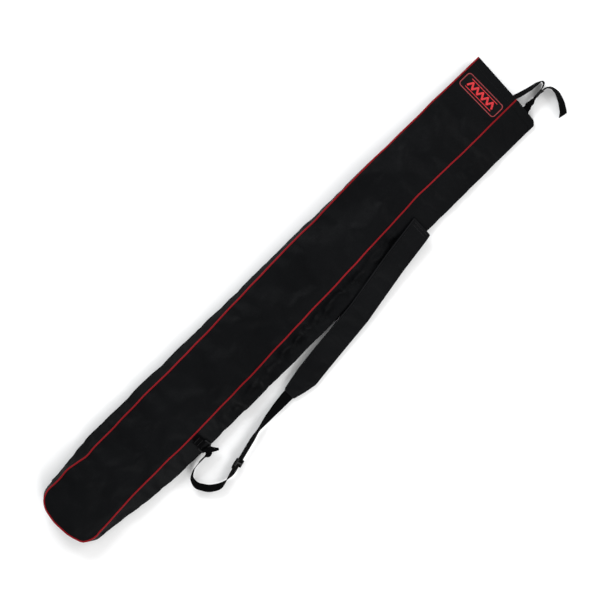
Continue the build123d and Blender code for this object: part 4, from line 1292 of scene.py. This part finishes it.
# Short tape folded round the ring's bar and sewn to the gusset: depth up the gusset, height off it.
TAB_PROFILE = np.array([(0.0270, 0.0017), (0.0150, 0.0015), (0.0080, 0.0010), (0.0030, -0.0022),
                        (-0.0008, -0.0033), (-0.0032, -0.0008), (-0.0026, 0.0024), (0.0008, 0.0036),
                        (0.0060, 0.0036), (0.0150, 0.0033), (0.0270, 0.0034)])
slope_way = unit(np.array([-0.045, 0.873, 0.485]))
slope_up = unit(np.cross(HINGE_WAY, slope_way))
tab_profile = rounded_line(TAB_PROFILE, 0.0016, 70)
tab_line = RING_BAR + tab_profile[:, :1] * slope_way + tab_profile[:, 1:] * slope_up
ring_tab = tape("ring_tab_tape", tab_line, np.tile(HINGE_WAY, (len(tab_line), 1)), WEB_WIDTH, WEB_THICK)
finish_piece(ring_tab, "bag", "webbing", webbing_tape, "ring_anchor_tab")


def bar_tack(name, middle, way, normal, length):
    """Dense bar of stitches lying across a tape: many short threads side by side."""
    steps = np.linspace(-0.5, 0.5, 2)[:, None]
    line = middle + steps * length * way
    return stitch_row(name, line, np.tile(normal, (2, 1)), 0.0009, 0.00055, 0.0019)


for number, depth in enumerate((0.0110, 0.0235)):
    middle = RING_BAR + depth * slope_way + 0.0044 * slope_up
    tack = bar_tack(f"ring_tab_tack_{number + 1}", middle, HINGE_WAY, slope_up, 0.021)
    finish_piece(tack, "bag", "black_thread", black_thread, "bar_tacks")
pad_end, pad_end_half, pad_end_normal, _ = pad_frame(np.array([0.424, 0.416]))
for number in (0, 1):
    across = unit(pad_end_half[number])
    tack = bar_tack(f"pad_end_tack_{number + 1}", pad_end[number] + pad_end_normal[number] * 0.0027, across,
                    pad_end_normal[number], 0.048)
    finish_piece(tack, "bag", "black_thread", black_thread)


def rounded_copy(node, name, edge, turned=None):
    """A CAD piece's shape as a new mesh with its flat faces joined and its edges rounded."""
    source = bpy.data.objects[node]
    shape = bmesh.new()
    shape.from_mesh(source.data)
    bmesh.ops.transform(shape, matrix=source.matrix_world, verts=shape.verts)
    bmesh.ops.remove_doubles(shape, verts=shape.verts, dist=0.00001)
    bmesh.ops.dissolve_limit(shape, angle_limit=0.02, verts=shape.verts, edges=shape.edges)
    if turned is not None:
        bmesh.ops.rotate(shape, cent=turned[0], matrix=Matrix.Rotation(math.radians(turned[2]), 3, turned[1]),
                         verts=shape.verts)
    bmesh.ops.recalc_face_normals(shape, faces=shape.faces)
    mesh = bpy.data.meshes.new(name)
    shape.to_mesh(mesh)
    shape.free()
    piece = bpy.data.objects.new(name, mesh)
    scene.collection.objects.link(piece)
    mesh.polygons.foreach_set("use_smooth", [True] * len(mesh.polygons))
    rounding = piece.modifiers.new("rounded edges", "BEVEL")
    rounding.width, rounding.segments = edge, 3
    rounding.limit_method, rounding.angle_limit = "ANGLE", math.radians(35)
    rounding.harden_normals = True
    rounding.use_clamp_overlap = True
    return piece


RUN_WAY = Vector((-0.9659, -0.2589, 0.0))
SLIDER_AT = Vector((-0.374, -0.21685, 0.017))
SLIDER_LEAN = 30.0
slider = rounded_copy("strap_slider", "strap_slider_moulding", 0.0009, (SLIDER_AT, RUN_WAY, SLIDER_LEAN))
finish_piece(slider, "slider", "hardware_plastic", dark_plastic, "strap_slider")

# The webbing's sewn loop round the slider's middle bar: u along the run, w across it.
LOOP_PROFILE = np.array([(0.0215, -0.0030), (0.0170, -0.0048), (0.0090, -0.0054), (0.0005, -0.0054),
                         (-0.0026, -0.0050), (-0.0034, -0.0035), (-0.0026, -0.0020), (0.0005, -0.0017),
                         (0.0090, -0.0018), (0.0215, -0.0016)])
loop = rounded_line(LOOP_PROFILE, 0.0014, 60)
run_way = np.array(RUN_WAY)
lean = math.radians(SLIDER_LEAN)
flat_side = np.cross(run_way, [0.0, 0.0, 1.0])
loop_across = math.cos(lean) * np.array([0.0, 0.0, 1.0]) + math.sin(lean) * flat_side
loop_out = np.cross(loop_across, run_way)
loop_line = np.array(SLIDER_AT) + loop[:, :1] * run_way + loop[:, 1:] * loop_out
slider_loop = tape("slider_loop_tape", loop_line, np.tile(loop_across, (len(loop), 1)), WEB_WIDTH, 0.0012)
finish_piece(slider_loop, "slider", "webbing", webbing_tape, "strap_end_loop")


# ------------------------------------------------------------------ closing strap at the mouth
LOCK_WAY = unit(np.array([0.0235, 0.0018, 0.0]))
LONG_ARM = [(0.828, -0.0175, 0.0138, 30), (0.850, -0.0240, 0.0140, 32), (0.876, -0.0330, 0.0148, 34),
            (0.905, -0.0400, 0.0155, 28), (0.930, -0.0438, 0.0158, 18), (0.9435, -0.0472, 0.0160, 6),
            (0.9440, -0.0560, 0.0160, 0), (0.9330, -0.0618, 0.0160, 0), (0.9045, -0.0648, 0.0160, 0)]
SHORT_ARM = [(0.828, -0.0820, 0.0090, 64), (0.848, -0.0765, 0.0098, 58), (0.864, -0.0715, 0.0125, 44),
             (0.882, -0.0690, 0.0150, 34), (0.8975, -0.0676, 0.0160, 6)]
TAIL_ROUTE = [(0.9045, -0.0692, 0.0160, 0), (0.926, -0.0675, 0.0160, 2), (0.9405, -0.0695, 0.0162, 12),
              (0.9500, -0.0800, 0.0165, 26), (0.9510, -0.1000, 0.0160, 40), (0.9420, -0.1250, 0.0140, 52),
              (0.9275, -0.1490, 0.0110, 60), (0.9120, -0.1620, 0.0090, 64)]


def closure_piece(name, body, route, reach, *nodes, ruffle=0.0):
    """Webbing of the closing strap: a leaning tape on a rounded route, with an optional ruffle sideways."""
    line = smooth_line(route, reach, 0.0014)
    across = leaning(line[:, :3], line[:, 3])
    place = line[:, :3]
    if ruffle:
        walked = np.linspace(0, 1, len(line))
        side = np.cross(unit(np.gradient(place, axis=0)), across)
        wave = np.sin(walked * 26) * np.sin(math.pi * walked) * ruffle
        place = place + side * wave[:, None]
    piece = tape(name, place, across, WEB_WIDTH, WEB_THICK)
    return finish_piece(piece, body, "webbing", webbing_tape, *nodes)


long_arm = closure_piece("closure_long_arm_tape", None, LONG_ARM, 0.006, "closure_strap")
short_arm = closure_piece("closure_short_arm_tape", None, SHORT_ARM, 0.006, "closure_short_strap",
                          ruffle=0.0016)
tail_piece = closure_piece("closure_tail_tape", "closure", TAIL_ROUTE, 0.010, "closure_tail")


def slant_cut(piece, place, normal):
    """Cuts a tape's end off along a slanting plane and closes it."""
    shape = bmesh.new()
    shape.from_mesh(piece.data)
    bmesh.ops.bisect_plane(shape, geom=[*shape.verts, *shape.edges, *shape.faces], plane_co=place,
                           plane_no=normal, clear_outer=True)
    bmesh.ops.holes_fill(shape, edges=[e for e in shape.edges if e.is_boundary])
    shape.to_mesh(piece.data)
    shape.free()


slant_cut(tail_piece, Vector((0.9215, -0.1560, 0.010)), Vector((-0.20, -0.95, -0.10)).normalized())

# Each tape is folded round its bar of the lock: an ellipse's arc about the bar's place along the lock.
LOCK_CENTRE = np.array([0.911, -0.0665, 0.0160])
lock_side = np.array([LOCK_WAY[1], -LOCK_WAY[0], 0.0])
for name, bar, half_long, half_deep, turns in (
        ("lock_sewn_fold_tape", -0.0110, 0.0027, 0.0024, np.linspace(-0.9, 0.9, 40)),
        ("lock_long_fold_tape", -0.0052, 0.0018, 0.0026, np.linspace(0.5, 1.5, 24))):
    angle = turns * math.pi
    line = (LOCK_CENTRE + (bar + half_long * np.cos(angle))[:, None] * LOCK_WAY
            + (half_deep * np.sin(angle))[:, None] * lock_side)
    fold = tape(name, line, np.tile([0.0, 0.0, 1.0], (len(line), 1)), WEB_WIDTH, 0.0014)
    finish_piece(fold, "closure", "webbing", webbing_tape)

lock = rounded_copy("ladder_lock", "ladder_lock_moulding", 0.0007)
finish_piece(lock, "closure", "hardware_plastic", dark_plastic, "ladder_lock")
for piece in (long_arm, short_arm):
    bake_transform(piece)


# ------------------------------------------------------------------ floor and light
def plain(name, colour, roughness):
    """A plain matt surface for the floor."""
    material, nodes, links = new_material(name)
    shader = nodes.new("ShaderNodeBsdfPrincipled")
    shader.label, shader.location = "floor paint", (0, 0)
    shader.inputs["Base Color"].default_value = (*colour, 1)
    shader.inputs["Roughness"].default_value = roughness
    shader.inputs["Specular IOR Level"].default_value = 0.1
    output = nodes.new("ShaderNodeOutputMaterial")
    output.label, output.location = "surface", (300, 0)
    links.new(shader.outputs["BSDF"], output.inputs["Surface"])
    return material


def soft_light(name, place, target, size, power, colour=(1, 1, 1)):
    """A square soft box at place that faces target."""
    data = bpy.data.lights.new(name, "AREA")
    data.shape, data.size, data.energy, data.color = "SQUARE", size, power, colour
    lamp = bpy.data.objects.new(name, data)
    lamp.location = place
    away = (np.array(place) - np.array(target)).tolist()
    lamp.rotation_euler = Vector(away).to_track_quat("Z", "Y").to_euler()
    scene.collection.objects.link(lamp)


FLOOR_HALF, FLOOR_Z = 30, -0.0004
floor_corners = [(-FLOOR_HALF, -FLOOR_HALF, FLOOR_Z), (FLOOR_HALF, -FLOOR_HALF, FLOOR_Z),
                 (FLOOR_HALF, FLOOR_HALF, FLOOR_Z), (-FLOOR_HALF, FLOOR_HALF, FLOOR_Z)]
floor = make_piece("floor", floor_corners, [[0, 1, 2, 3]])
floor.data.materials.append(plain("white_floor", (0.93, 0.93, 0.93), 0.9))
soft_light("far_side_box", (0.9, 2.7, 2.1), (0, 0, 0), 1.8, 88, (0.96, 0.98, 1.0))
soft_light("near_side_box", (-1.6, -2.6, 2.0), (0, 0, 0), 1.8, 66)
soft_light("end_box", (2.9, -0.9, 1.9), (0, 0, 0), 1.4, 36)
world = bpy.data.worlds.new("studio")
world.use_nodes = True
world.node_tree.nodes["Background"].inputs["Color"].default_value = (1.0, 1.0, 1.0, 1)
world.node_tree.nodes["Background"].inputs["Strength"].default_value = 0.60
scene.world = world
scene.view_settings.view_transform = "Standard"
